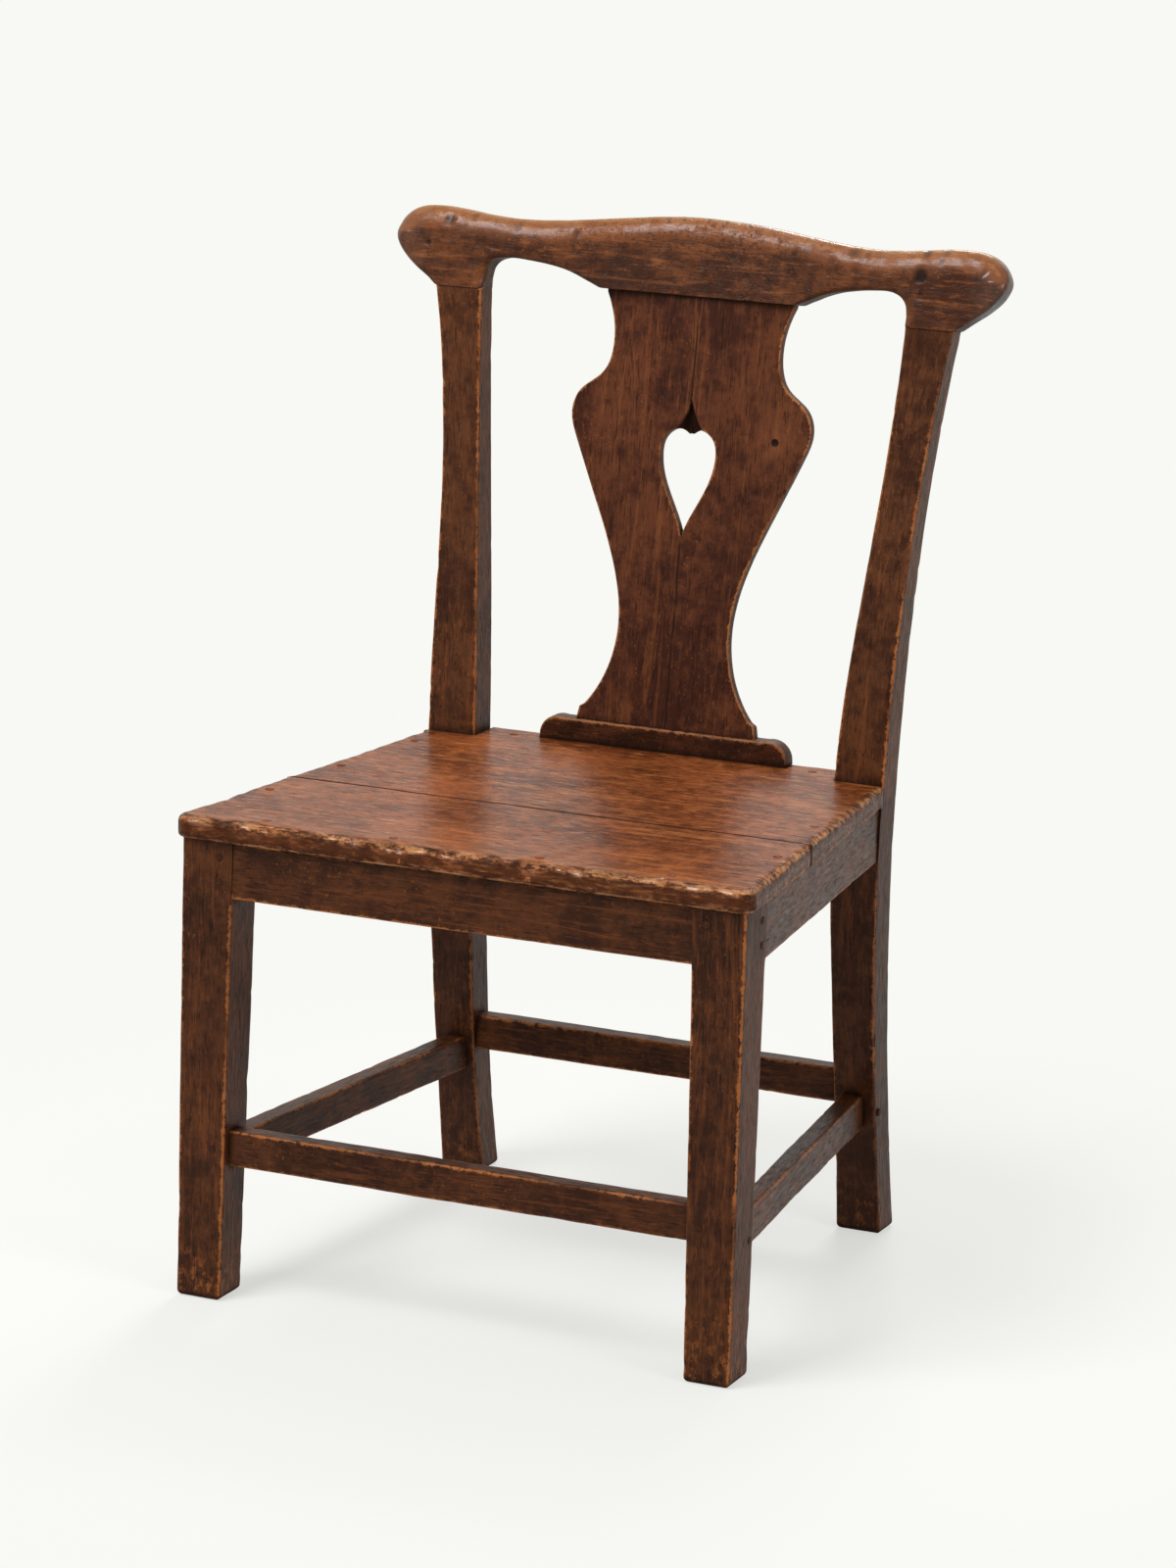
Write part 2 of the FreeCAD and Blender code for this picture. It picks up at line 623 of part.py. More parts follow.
def bow_line(behind):
    """Hollow line of the crest in plan, moved back by a distance: flat ends and three tangent arcs."""
    quarter = "crest_bow_half / 2"
    halfway = f"{behind} + crest_bow / 2"
    swing = f"{behind} + crest_bow / 8"
    return [
        ("line", ("-crest_bow_half", behind)),
        ("arc", (f"-1.5 * {quarter}", swing), (f"-({quarter})", halfway)),
        ("arc", ("0", f"{behind} + crest_bow"), (quarter, halfway)),
        ("arc", (f"1.5 * {quarter}", swing), ("crest_bow_half", behind)),
        ("line", ("crest_half", behind)),
    ]


for name, behind, beyond in (
    ("crest_front", "0", "-root"),
    ("crest_rear", "crest_thick", "2 * crest_blank"),
):
    start = ("-crest_half", behind)
    corners = (("crest_half", beyond), ("-crest_half", beyond), start)
    waste = [start] + bow_line(behind) + [("line", corner) for corner in corners]
    pocket(crest_blank, f"{name}_cut", sketch(crest_blank, name, "XY_Plane", waste))
lean(crest_blank, "0", "-crest_proud", "0")
doc.recompute()
crest_top = max(crest_blank.Shape.Faces, key=lambda face: face.BoundBox.XLength)
top_edges = [edge for edge in crest_top.Edges if edge.Length > size("1.5 * crest_thick")]
crest_shaped = eased(
    "crest_shaped", crest_blank, "crest_round",
    lambda edge: any(edge.isSame(top) for top in top_edges),
    kind="Part::Chamfer")

# Shoe: the strip on the seat that holds the foot of the splat
shoe_strip = new_body("shoe_strip")
shoe_top = "seat_height + shoe_high"
shoe_shoulder = ("shoe_half", "seat_height + 0.25 * shoe_high")
shoe_bend = ("shoe_half - 0.25 * shoe_high", "seat_height + 0.78 * shoe_high")
shoe_outline = sketch(shoe_strip, "shoe_outline", "XZ_Plane", [
    ("-shoe_half", "seat_height"),
    ("line", ("shoe_half", "seat_height")),
    ("line", shoe_shoulder),
    ("arc", shoe_bend, ("shoe_half - shoe_high", shoe_top)),
    ("line", ("-shoe_half + shoe_high", shoe_top)),
    ("arc", *half_turned([shoe_shoulder, shoe_bend])),
    ("line", ("-shoe_half", "seat_height")),
], offset="-shoe_front")
pad(shoe_strip, "shoe_bar", shoe_outline, "shoe_deep", reverse=True)
shoe_shaped = eased(
    "shoe_shaped", shoe_strip, "shoe_ease",
    lambda edge: at_height(edge, size(shoe_top)) and edge.BoundBox.XLength > size("shoe_half"))

# Seat: two boards with the grain side to side, rounded at the front and sides, notched round the posts
seat_low = "seat_height - seat_thick"
seat_slope = "(seat_half_front - seat_half_rear) / (post_front - seat_front)"
seat_half_joint = f"seat_half_front - (seat_joint - seat_front) * {seat_slope}"
front_board = new_body("front_board")
front_board_plan = sketch(front_board, "front_board_plan", "XY_Plane", [
    (f"-({seat_half_joint})", "seat_joint"),
    ("line", ("-seat_half_front", "seat_front + seat_corner")),
    ("arc", ("-seat_half_front + 0.29 * seat_corner", "seat_front + 0.29 * seat_corner"),
     ("-seat_half_front + seat_corner", "seat_front")),
    ("line", ("seat_half_front - seat_corner", "seat_front")),
    ("arc", ("seat_half_front - 0.29 * seat_corner", "seat_front + 0.29 * seat_corner"),
     ("seat_half_front", "seat_front + seat_corner")),
    ("line", (seat_half_joint, "seat_joint")),
    ("line", (f"-({seat_half_joint})", "seat_joint")),
], offset=seat_low)
pad(front_board, "front_board_plank", front_board_plan, "seat_thick")
rear_board = new_body("rear_board")
notch_x = "post_in - seat_gap"
notch_y = "post_front - 2 * seat_gap"
rear_board_plan = sketch(rear_board, "rear_board_plan", "XY_Plane", [
    (f"-({seat_half_joint})", "seat_joint + seat_gap"),
    ("line", (seat_half_joint, "seat_joint + seat_gap")),
    ("line", ("seat_half_rear", notch_y)),
    ("line", (notch_x, notch_y)),
    ("line", (notch_x, "seat_rear")),
    ("line", (f"-({notch_x})", "seat_rear")),
    ("line", (f"-({notch_x})", notch_y)),
    ("line", ("-seat_half_rear", notch_y)),
    ("line", (f"-({seat_half_joint})", "seat_joint + seat_gap")),
], offset=seat_low)
pad(rear_board, "rear_board_plank", rear_board_plan, "seat_thick")


def on_rim(edge):
    """An edge along the front or the sides of the seat."""
    middle = edge.valueAt((edge.FirstParameter + edge.LastParameter) / 2)
    side = size("seat_half_front") - (middle.y - size("seat_front")) * size(seat_slope)
    return abs(middle.x) > side - size("seat_corner") or middle.y < size("seat_front") + 1


def rim_at(height):
    return lambda edge: at_height(edge, size(height)) and on_rim(edge)


def side_rim(height):
    return lambda edge: rim_at(height)(edge) and edge.BoundBox.YLength > size("seat_thick")


front_board_nosed = eased("front_board_nosed", front_board, "seat_nose", rim_at("seat_height"))
front_board_shaped = eased("front_board_shaped", front_board_nosed, "seat_under", rim_at(seat_low))
rear_board_nosed = eased("rear_board_nosed", rear_board, "seat_nose", side_rim("seat_height"))
rear_board_shaped = eased("rear_board_shaped", rear_board_nosed, "seat_under", side_rim(seat_low))

# Peg holes are bored through whatever the pegs pass
joint_holes = group("joint_holes", rail_pegs + bar_pegs)
seat_holes = group("seat_holes", seat_pegs)
crest_holes = group("crest_holes", crest_pegs)


def rail_edge(edge):
    """A long lower edge of a seat rail."""
    return stretcher_edge(edge) and at_height(edge, size(rail_z))


def stretcher_edge(edge):
    return edge.Length > size("post_in")


def bar(name, stock, arris, worn, tenons, ends, holes):
    """Rail or stretcher: eased stock scribed to what it meets, with its tenons, bored for its pegs."""
    smooth = eased(f"{name}_smooth", stock, arris, worn)
    scribed = cut(f"{name}_scribed", smooth, *ends)
    return cut(name, join(f"{name}_tenoned", scribed, *tenons), *holes)


def rail(name, stock, tenons, ends):
    return bar(name, stock, "rail_arris", rail_edge, tenons, ends, [joint_holes, seat_holes])


def stretcher(name, stock, tenons, ends):
    return bar(name, stock, "bar_arris", stretcher_edge, tenons, ends, [joint_holes])


def both(piece):
    return [piece, mirrored(f"{piece.Name}_left", piece)]


legs = [leg_stock, leg_stock_left]
posts = [post_stock, post_stock_left]
side_ends = [leg_stock, post_stock]
side_tenons = [side_tenon_front, side_tenon_rear]
side_bar_tenons = [side_bar_tenon_front, side_bar_tenon_rear]
parts = {
    "front_seat_rail": rail("front_seat_rail", front_rail_stock, both(front_tenon), legs),
    "rear_seat_rail": rail("rear_seat_rail", rear_rail_stock, both(rear_tenon), posts),
    "side_seat_rail_right": rail("side_seat_rail_right", side_rail_stock, side_tenons, side_ends),
    "front_stretcher": stretcher("front_stretcher", front_bar_stock, both(front_bar_tenon), legs),
    "rear_stretcher": stretcher("rear_stretcher", rear_bar_stock, both(rear_bar_tenon), posts),
    "side_stretcher_right": stretcher("side_stretcher_right", side_bar_stock, side_bar_tenons, side_ends),
    "front_leg_right": cut(
        "front_leg_right", leg_shaped, front_tenon, side_tenon_front, front_bar_tenon, side_bar_tenon_front,
        joint_holes),
    "back_post_right": cut(
        "back_post_right", post_shaped, rear_tenon, side_tenon_rear, rear_bar_tenon, side_bar_tenon_rear,
        joint_holes, crest_holes),
    "splat": splat_board,
    "crest_rail": cut("crest_rail", crest_shaped, *both(crest_tenon), splat_board, crest_holes),
    "shoe": cut("shoe", shoe_shaped, splat_board),
    "seat_board_front": cut("seat_board_front", front_board_shaped, seat_holes),
    "seat_board_rear": cut("seat_board_rear", rear_board_shaped, seat_holes),
    "rail_pegs": group("rail_pegs", rail_pegs),
    "stretcher_pegs": group("stretcher_pegs", bar_pegs),
    "crest_pegs": group("crest_pegs", crest_pegs),
    "seat_pegs": group("seat_pegs", seat_pegs),
}
for name in ("front_leg", "back_post", "side_seat_rail", "side_stretcher"):
    parts[f"{name}_left"] = mirrored(f"{name}_left", parts[f"{name}_right"])
for name, item in parts.items():
    item.Label = name
doc.recompute()

# Every object has to be sound before a file is written
for item in doc.Objects:
    assert not {"Invalid", "Error"} & set(item.State), f"{item.Name}: {item.State}"
for name, item in parts.items():
    shape = item.Shape
    assert not shape.isNull() and shape.isValid(), f"{name} has no sound shape"
    print(name, len(shape.Solids), "solids", round(shape.Volume), "mm3")
os.makedirs("parts", exist_ok=True)
for name, item in parts.items():
    item.Shape.exportStep(f"parts/{name}.step")
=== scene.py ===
import math
import random

import bpy
import numpy as np
from mathutils import Matrix, Vector, noise
from mathutils.geometry import delaunay_2d_cdt


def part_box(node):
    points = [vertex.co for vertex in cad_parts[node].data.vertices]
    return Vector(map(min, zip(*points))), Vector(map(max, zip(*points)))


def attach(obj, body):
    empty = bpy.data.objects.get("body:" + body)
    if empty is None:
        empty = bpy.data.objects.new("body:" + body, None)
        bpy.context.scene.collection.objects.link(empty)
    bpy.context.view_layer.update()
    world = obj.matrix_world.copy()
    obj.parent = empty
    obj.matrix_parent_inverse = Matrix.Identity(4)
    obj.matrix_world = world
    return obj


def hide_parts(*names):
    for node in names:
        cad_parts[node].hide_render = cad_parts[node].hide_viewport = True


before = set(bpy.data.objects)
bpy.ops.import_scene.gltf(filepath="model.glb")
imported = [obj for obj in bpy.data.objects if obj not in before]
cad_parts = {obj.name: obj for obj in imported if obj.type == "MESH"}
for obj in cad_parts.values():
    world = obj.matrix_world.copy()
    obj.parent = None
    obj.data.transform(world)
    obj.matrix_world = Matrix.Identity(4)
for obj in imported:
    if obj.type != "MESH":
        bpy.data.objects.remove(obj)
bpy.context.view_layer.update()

# Front legs: two squared lengths of oak, straight on their outer faces and tapered on the inner two.
# They are sawn and planed, and a long life has rubbed their arrises and feet round and bruised them.
MM = 0.001
RING_STEP = 2.5 * MM
PROBE_STEP = 15 * MM
SHELTERED = 9 * MM  # added to the distance from an arris that a joint shelters from wear


def mesh_of(node):
    """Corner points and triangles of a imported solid."""
    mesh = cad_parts[node].data
    points = np.zeros(len(mesh.vertices) * 3)
    mesh.vertices.foreach_get("co", points)
    mesh.calc_loop_triangles()
    faces = np.zeros(len(mesh.loop_triangles) * 3, int)
    mesh.loop_triangles.foreach_get("vertices", faces)
    return points.reshape(-1, 3), faces.reshape(-1, 3)


def slice_at(points, faces, height, level):
    """Segments where a solid meets the surface on which the points' heights equal a level."""
    crossings = []
    for a, b in ((0, 1), (1, 2), (2, 0)):
        first, last = faces[:, a], faces[:, b]
        low, high = height[first] - level, height[last] - level
        crossing = (low < 0) != (high < 0)
        share = np.where(crossing, low / np.where(crossing, low - high, 1), 0)[:, None]
        crossings.append((crossing, points[first] + share * (points[last] - points[first])))
    hit = sum(crossing.astype(int) for crossing, spot in crossings) == 2
    ends = np.full((2, hit.sum(), 3), np.nan)
    for crossing, spot in crossings:
        mine = crossing[hit]
        empty = np.isnan(ends[0, :, 0])
        ends[0][mine & empty] = spot[hit][mine & empty]
        ends[1][mine & ~empty] = spot[hit][mine & ~empty]
    return np.stack(ends, axis=1)


def section_box(node, axis, level):
    """Lowest and highest corner of a node's section across an axis."""
    points, faces = mesh_of(node)
    cut = slice_at(points, faces, points[:, axis], level).reshape(-1, 3)
    return cut.min(0), cut.max(0)


def rounded(low, high, radii, side_points=7, corner_points=6):
    """Rectangle with its own radius at each corner: points, and how far each lies from an arris."""
    corners = ((high[0], high[1]), (low[0], high[1]), (low[0], low[1]), (high[0], low[1]))
    signs = ((1, 1), (-1, 1), (-1, -1), (1, -1))
    arcs = []
    for number, (corner, sign, radius) in enumerate(zip(corners, signs, radii)):
        turn = np.linspace(0, math.pi / 2, corner_points) + number * math.pi / 2
        centre = np.array(corner) - radius * np.array(sign)
        arc = centre + radius * np.stack((np.cos(turn), np.sin(turn)), axis=1)
        away = radius * np.abs(np.linspace(-math.pi / 4, math.pi / 4, corner_points))
        arcs.append((arc, away))
    points, edge = [], []
    share = (1 - np.cos(np.linspace(0, math.pi, side_points + 2)[1:-1])) / 2
    for number, (arc, away) in enumerate(arcs):
        following = arcs[(number + 1) % 4][0]
        run = following[0] - arc[-1]
        points += [arc, arc[-1] + share[:, None] * run]
        edge += [away, away[-1] + np.minimum(share, 1 - share) * np.linalg.norm(run)]
    return np.concatenate(points), np.concatenate(edge)


def knocked(rng, length, count):
    """Knocks along an arris: where, how deep and how long."""
    return [(rng.uniform(0, length), rng.uniform(0.3, 1.5) * MM, rng.uniform(2, 8) * MM)
            for knock in range(count)]


def worn_radius(radius, along, knocks, seed):
    """Radius of an arris at a place along it: uneven wear, and the knocks."""
    uneven = 0.9 + 0.5 * noise.noise((along * 9, seed, 0)) + 0.25 * noise.noise((along * 41, seed, 5))
    dent = sum(deep * math.exp(-((along - place) / long) ** 2) for place, deep, long in knocks)
    return max(0.3, uneven) * radius + dent


def new_piece(name, points, faces, marks, finish, swell=0.2 * MM, ripple=0.08 * MM):
    """Mesh object with a slightly uneven hand-planed surface and its marks: edge, grime with painted shade,
    and grain.
    """
    mesh = bpy.data.meshes.new(name)
    mesh.from_pydata([tuple(point) for point in points], [], faces)
    mesh.validate()
    normals = np.zeros(len(mesh.vertices) * 3)
    mesh.vertex_normals.foreach_get("vector", normals)
    push = [swell * noise.noise(Vector(point) * 19) + ripple * noise.noise(Vector(point) * 67)
            for point in points]
    points = points + np.array(push)[:, None] * normals.reshape(-1, 3)
    points[:, 2] = np.maximum(points[:, 2], 0)
    mesh.vertices.foreach_set("co", points.ravel())
    for mark, values in marks.items():
        values = np.asarray(values, float)
        kind, field = ("FLOAT", "value") if values.ndim == 1 else ("FLOAT_VECTOR", "vector")
        mesh.attributes.new(mark, kind, "POINT").data.foreach_set(field, values.ravel())
    mesh.polygons.foreach_set("use_smooth", [True] * len(mesh.polygons))
    mesh.materials.append(finish)
    mesh.update()
    piece = bpy.data.objects.new(name, mesh)
    bpy.context.scene.collection.objects.link(piece)
    return piece


def timber(name, node, axis, start, end, radius, finish, seed, rounds, knocks, clear=1 * MM, shelter=None):
    """Squared timber along an axis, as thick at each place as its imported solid, with worn arrises.

    rounds are the radii of its two ends and knocks the count on each arris. Within the distance clear of its
    ends the sides run on straight, past the solid's tenons. shelter says how far each arris is covered by a
    joint at a place, from 0 to 1.
    """
    rng = random.Random(seed)
    hurt = [knocked(rng, end - start, knocks) for corner in range(4)]
    across = [number for number in range(3) if number != axis]
    turns = np.linspace(0, math.pi / 2, 6)
    foot = [(start + rounds[0] * (1 - math.sin(turn)), rounds[0] * (1 - math.cos(turn)), turn)
            for turn in turns[::-1]]
    head = [(end - rounds[1] * (1 - math.sin(turn)), rounds[1] * (1 - math.cos(turn)), turn)
            for turn in turns]
    count = max(3, round((end - start) / RING_STEP))
    middle = np.linspace(foot[-1][0], head[0][0], count)[1:-1]
    stations = foot + [(place, 0.0, None) for place in middle] + head
    first, last = start + clear, end - clear
    probes = np.linspace(first, last, max(3, min(40, round((end - start) / PROBE_STEP))))
    boxes = [section_box(node, axis, probe) for probe in probes]
    lows = np.array([low[across] for low, high in boxes])
    highs = np.array([high[across] for low, high in boxes])

    def sized(rows, place):
        """Corner of the section at a place, read between the probes or run on past them."""
        if first <= place <= last:
            return np.array([np.interp(place, probes, rows[:, column]) for column in range(2)])
        a, b = (0, 1) if place < first else (-1, -2)
        return rows[a] + (rows[b] - rows[a]) / (probes[b] - probes[a]) * (place - probes[a])

    points, edge, grain, rings = [], [], [], []
    shift = np.array([rng.uniform(-5, 5) for number in range(3)])
    for place, inset, turn in stations:
        low, high = sized(lows, place) + inset, sized(highs, place) - inset
        cover = np.array(shelter(place)) if shelter else np.zeros(4)
        radii = [
            max(0.35 * MM, (1 - 0.85 * cover[corner])
                * worn_radius(radius, place - start, hurt[corner], seed + 7.3 * corner) - 0.5 * inset)
            for corner in range(4)
        ]
        ring, away = rounded(low, high, radii)
        away = away + SHELTERED * np.repeat(cover, len(ring) // 4)
        if turn is not None:
            size = rounds[0] if place < (start + end) / 2 else rounds[1]
            away = np.minimum(away, abs(turn - math.pi / 4) * size)
        solid = np.zeros((len(ring), 3))
        solid[:, across] = ring
        solid[:, axis] = place
        heart = (sized(lows, place) + sized(highs, place)) / 2
        rings.append(np.arange(len(ring)) + len(points) * len(ring))
        points.append(solid)
        edge.append(away)
        grain.append(np.column_stack((ring - heart, np.full(len(ring), place))) + shift)
    faces = [tuple(rings[0][::-1].tolist()), tuple(rings[-1].tolist())]
    for here, there in zip(rings, rings[1:]):
        quads = np.stack((here, np.roll(here, -1), np.roll(there, -1), there), axis=1)
        faces += [tuple(quad) for quad in quads.tolist()]
    if axis == 1:
        faces = [face[::-1] for face in faces]
    marks = {"edge": np.concatenate(edge), "grain": np.concatenate(grain)}
    marks["grime_and_shade"] = np.zeros(len(marks["edge"]))
    return new_piece(name, np.concatenate(points), faces, marks, finish)


class Value:
    """A socket of a finish's node tree. Sums written on it add Math nodes."""

    def __init__(self, tree, socket):
        self.tree = tree
        self.socket = socket

    def sum(self, operation, *others):
        return self.tree.node("ShaderNodeMath", {"operation": operation}, dict(enumerate(others)))[0]

    def __add__(self, other):
        return self.sum("ADD", self, other)

    def __sub__(self, other):
        return self.sum("SUBTRACT", self, other)

    def __rsub__(self, other):
        return self.sum("SUBTRACT", other, self)

    def __mul__(self, other):
        return self.sum("MULTIPLY", self, other)

    def __truediv__(self, other):
        return self.sum("DIVIDE", self, other)

    def __rtruediv__(self, other):
        return self.sum("DIVIDE", other, self)

    def __abs__(self):
        return self.sum("ABSOLUTE", self)

    __radd__ = __add__
    __rmul__ = __mul__


class Finish:
    """A node tree and ways to add to it."""

    def __init__(self, tree):
        self.tree = tree
        self.tree.nodes.clear()

    def node(self, kind, settings=None, inputs=None):
        """New node: its settings first, then the values or links of its sockets; gives its outputs."""
        made = self.tree.nodes.new(kind)
        for name, setting in (settings or {}).items():
            setattr(made, name, setting)
        for name, given in (inputs or {}).items():
            if isinstance(given, Value):
                self.tree.links.new(given.socket, made.inputs[name])
            else:
                made.inputs[name].default_value = given
        return [Value(self, socket) for socket in made.outputs]

    def mix(self, share, first, second):
        """Colour mixed from two."""
        settings = {"data_type": "RGBA", "clamp_factor": True}
        return self.node("ShaderNodeMix", settings, {0: share, 6: first, 7: second})[2]

    def stain(self, share, code):
        """Lay a share of another colour over the wood's."""
        self.colour = self.mix(share, self.colour, paint(code))

    def between(self, value, low, high, first=0.0, last=1.0):
        """Value eased from first to last as another goes from low to high."""
        settings = {"interpolation_type": "SMOOTHSTEP"}
        return self.node("ShaderNodeMapRange", settings, {0: value, 1: low, 2: high, 3: first, 4: last})[0]

    def speckle(self, vector, scale, detail=2.0, roughness=0.5, distortion=0.0):
        """Noise with so many grains to a metre along each axis."""
        stretched = self.node("ShaderNodeMapping", {}, {"Vector": vector, "Scale": scale})[0]
        inputs = {"Vector": stretched, "Scale": 1.0, "Detail": detail, "Roughness": roughness,
                  "Distortion": distortion}
        return self.node("ShaderNodeTexNoise", {}, inputs)[0]


def new_finish(name):
    """Material and the finish that its nodes make."""
    material = bpy.data.materials.new(name)
    material.use_nodes = True
    return material, Finish(material.node_tree)


def paint(code, level=1.0):
    """Colour written as six hex digits, in linear light."""
    parts = [int(code[n:n + 2], 16) / 255 for n in (0, 2, 4)]
    light = [part / 12.92 if part < 0.04045 else ((part + 0.055) / 1.055) ** 2.4 for part in parts]
    return [*(level * part for part in light), 1.0]


def oak(name, dark, brown, warm, worn, gloss=0.38, shine=0.09, rub=2 * MM, rubs=0.85, dents=0.5,
        fleck=(300, 60, 0.75), extra=None):
    """Old stained and waxed oak: figure, flecks, pores, rubbed arrises, knocks, scuffs, and dirt and painted
    shade in corners.

    rub is how far the rubbing reaches from an arris and rubs how strong it is. fleck is how many flecks there
    are to a metre across and along the grain, and their strength. extra adds the wear of one piece.
    """
    material, finish = new_finish(name)
    grain = finish.node("ShaderNodeAttribute", {"attribute_name": "grain"})[1]
    edge = finish.node("ShaderNodeAttribute", {"attribute_name": "edge"})[2]
    grime_and_shade = finish.node("ShaderNodeAttribute", {"attribute_name": "grime_and_shade"})[2]
    coordinates = finish.node("ShaderNodeTexCoord")
    place = coordinates[3]
    finish.across, finish.deep, finish.height = finish.node("ShaderNodeSeparateXYZ", {}, {0: place})
    finish.upward = finish.node("ShaderNodeSeparateXYZ", {}, {0: coordinates[1]})[2]
    soot_and_shade = paint(dark, 0.2)
    patches = finish.speckle(place, (12, 12, 9), 5, 0.62, 0.4)
    mottle = finish.speckle(place, (75, 75, 75), 5, 0.7)
    figure = finish.speckle(grain, (80, 80, 6), 4, 0.6, 1.5)
    flecks = finish.speckle(grain, (fleck[0], fleck[0], fleck[1]), 3, 0.65)
    pores = finish.between(finish.speckle(grain, (850, 850, 60), 1), 0.59, 0.69)
    smear = finish.between(finish.speckle(place, (21, 21, 21), 6, 0.72, 0.8), 0.52, 0.7)
    pits = finish.between(finish.speckle(place, (210, 210, 210), 3, 0.55), 0.63, 0.72)
    colour = finish.mix(finish.between(patches + 0.7 * (mottle - 0.5), 0.35, 0.65), paint(dark), paint(brown))
    colour = finish.mix(0.45 * finish.between(figure, 0.5, 0.68), colour, paint(warm))
    colour = finish.mix(0.6 * fleck[2] * finish.between(flecks, 0.46, 0.3), colour, paint(dark, 0.55))
    colour = finish.mix(0.5 * fleck[2] * finish.between(flecks, 0.55, 0.7), colour, paint(warm, 1.1))
    colour = finish.mix(0.5 * smear, colour, paint(dark, 0.6))
    colour = finish.mix(0.6 * pores, colour, soot_and_shade)
    ragged = finish.speckle(place, (150, 150, 150), 4, 0.72)
    tide = finish.between(finish.speckle(place, (13, 13, 13), 3), 0.36, 0.58, 0.15, 1.0)
    reach = rub * finish.between(ragged, 0.32, 0.7, 0.25, 1.9)
    rubbed = finish.between(edge / reach, 1.0, 0.25) * tide
    colour = finish.mix(rubs * rubbed, colour, paint(worn))
    scuffs = finish.between(finish.height, 75 * MM, 0) * finish.between(
        finish.speckle(place, (170, 170, 90), 5, 0.75), 0.5, 0.64)
    specks = finish.between(finish.speckle(place, (380, 380, 230), 2, 0.6), 0.63, 0.71) * finish.between(
        finish.speckle(place, (9, 9, 9), 2), 0.4, 0.62)
    colour = finish.mix(0.5 * scuffs.sum("MAXIMUM", scuffs, 0.5 * specks), colour, paint(worn))
    chips = finish.between(finish.speckle(place, (360, 360, 360), 3, 0.6), 0.58, 0.66) * finish.between(
        edge, 3.5 * MM, 0.8 * MM)
    colour = finish.mix(0.65 * chips, colour, soot_and_shade)
    colour = finish.mix(dents * pits, colour, soot_and_shade)
    finish.relief = 0.8 * flecks - 0.6 * pores + 0.3 * figure + 1.2 * mottle
    finish.relief = finish.relief - 1.6 * dents * pits - 0.8 * chips
    finish.sheen = gloss + 0.3 * (mottle - 0.5) - 0.45 * (flecks - 0.5) + 0.15 * pores
    finish.colour, finish.place, finish.edge, finish.polish = colour, place, edge, 0.0
    if extra:
        extra(finish)
    # Painted shade: ambient occlusion darkens corners, joints and hollows toward the darkest tone, along with
    # the grime and painted shade carried on the mesh.
    hollow = finish.node("ShaderNodeAmbientOcclusion", {"samples": 8}, {"Distance": 14 * MM})[1]
    dirt_and_shade = finish.between(hollow, 0.88, 0.35)
    dirt_and_shade = dirt_and_shade.sum("MAXIMUM", dirt_and_shade, grime_and_shade)
    colour = finish.mix(0.88 * dirt_and_shade, finish.colour, soot_and_shade)
    bump = finish.node("ShaderNodeBump", {}, {
        "Strength": 0.4, "Distance": 0.5 * MM, "Height": finish.relief})[0]
    shader = finish.node("ShaderNodeBsdfPrincipled", {}, {
        "Base Color": colour, "Roughness": finish.sheen + 0.4 * dirt_and_shade, "Normal": bump,
        "Specular IOR Level": shine, "Coat Weight": finish.polish, "Coat Roughness": 0.16,
    })[0]
    finish.node("ShaderNodeOutputMaterial", {}, {"Surface": shader})
    return material


leg_oak = oak("waxed_leg_oak", "31190d", "4e2b16", "6d3c1e", "a26132")


def placed(piece, node):
    """Piece that stands for a node and goes with the chair."""
    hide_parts(node)
    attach(piece, "root")


rail_low, rail_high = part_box("front_seat_rail")[0].z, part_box("front_seat_rail")[1].z


def rail_cover(free):
    """Shelter of a leg's arrises where the seat rails meet it, all but the free outer one."""
    def cover(height):
        """Shelter of the four arrises at a height."""
        share = 1 / (1 + math.exp(-(height - rail_low) / (1.5 * MM)))
        share *= 1 / (1 + math.exp((height - rail_high - 6 * MM) / (1.5 * MM)))
        return [0.0 if corner == free else share for corner in range(4)]
    return cover


for number, (side, free) in enumerate((("left", 2), ("right", 3))):
    node = f"front_leg_{side}"
    leg = timber(f"{node}_wood", node, 2, 0.0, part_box(node)[1].z, 2.4 * MM, leg_oak, 11 + number,
                 rounds=(5.5 * MM, 0.6 * MM), knocks=10, shelter=rail_cover(free))
    placed(leg, node)

# Back posts: rear leg and back upright sawn from one plank of oak, kicked back to the foot and raked
# above the seat. They carry the crest rail on a tenon, which stays inside it.
RAKE = math.radians(7.35)
POST_FRONT, SEAT_TOP, POST_LENGTH = 158 * MM, 440 * MM, 414 * MM


def post_painted_shade(finish):
    """Painted shade under the seat: the posts stained darker below the seat top than above it."""
    seat_shade = finish.between(finish.height, SEAT_TOP, SEAT_TOP - 60 * MM)
    finish.stain(0.3 * seat_shade, "1c0d06")


post_oak = oak("waxed_post_oak", "361b0e", "56321c", "734022", "aa6637", extra=post_painted_shade)
post_end = SEAT_TOP + POST_LENGTH * math.cos(RAKE) + 1.2 * MM
for number, (side, free) in enumerate((("left", 1), ("right", 0))):
    node = f"back_post_{side}"
    post = timber(f"{node}_wood", node, 2, 0.0, post_end, 2.2 * MM, post_oak, 23 + number,
                  clear=7 * MM, rounds=(5 * MM, 0.6 * MM), knocks=16, shelter=rail_cover(free))
    placed(post, node)

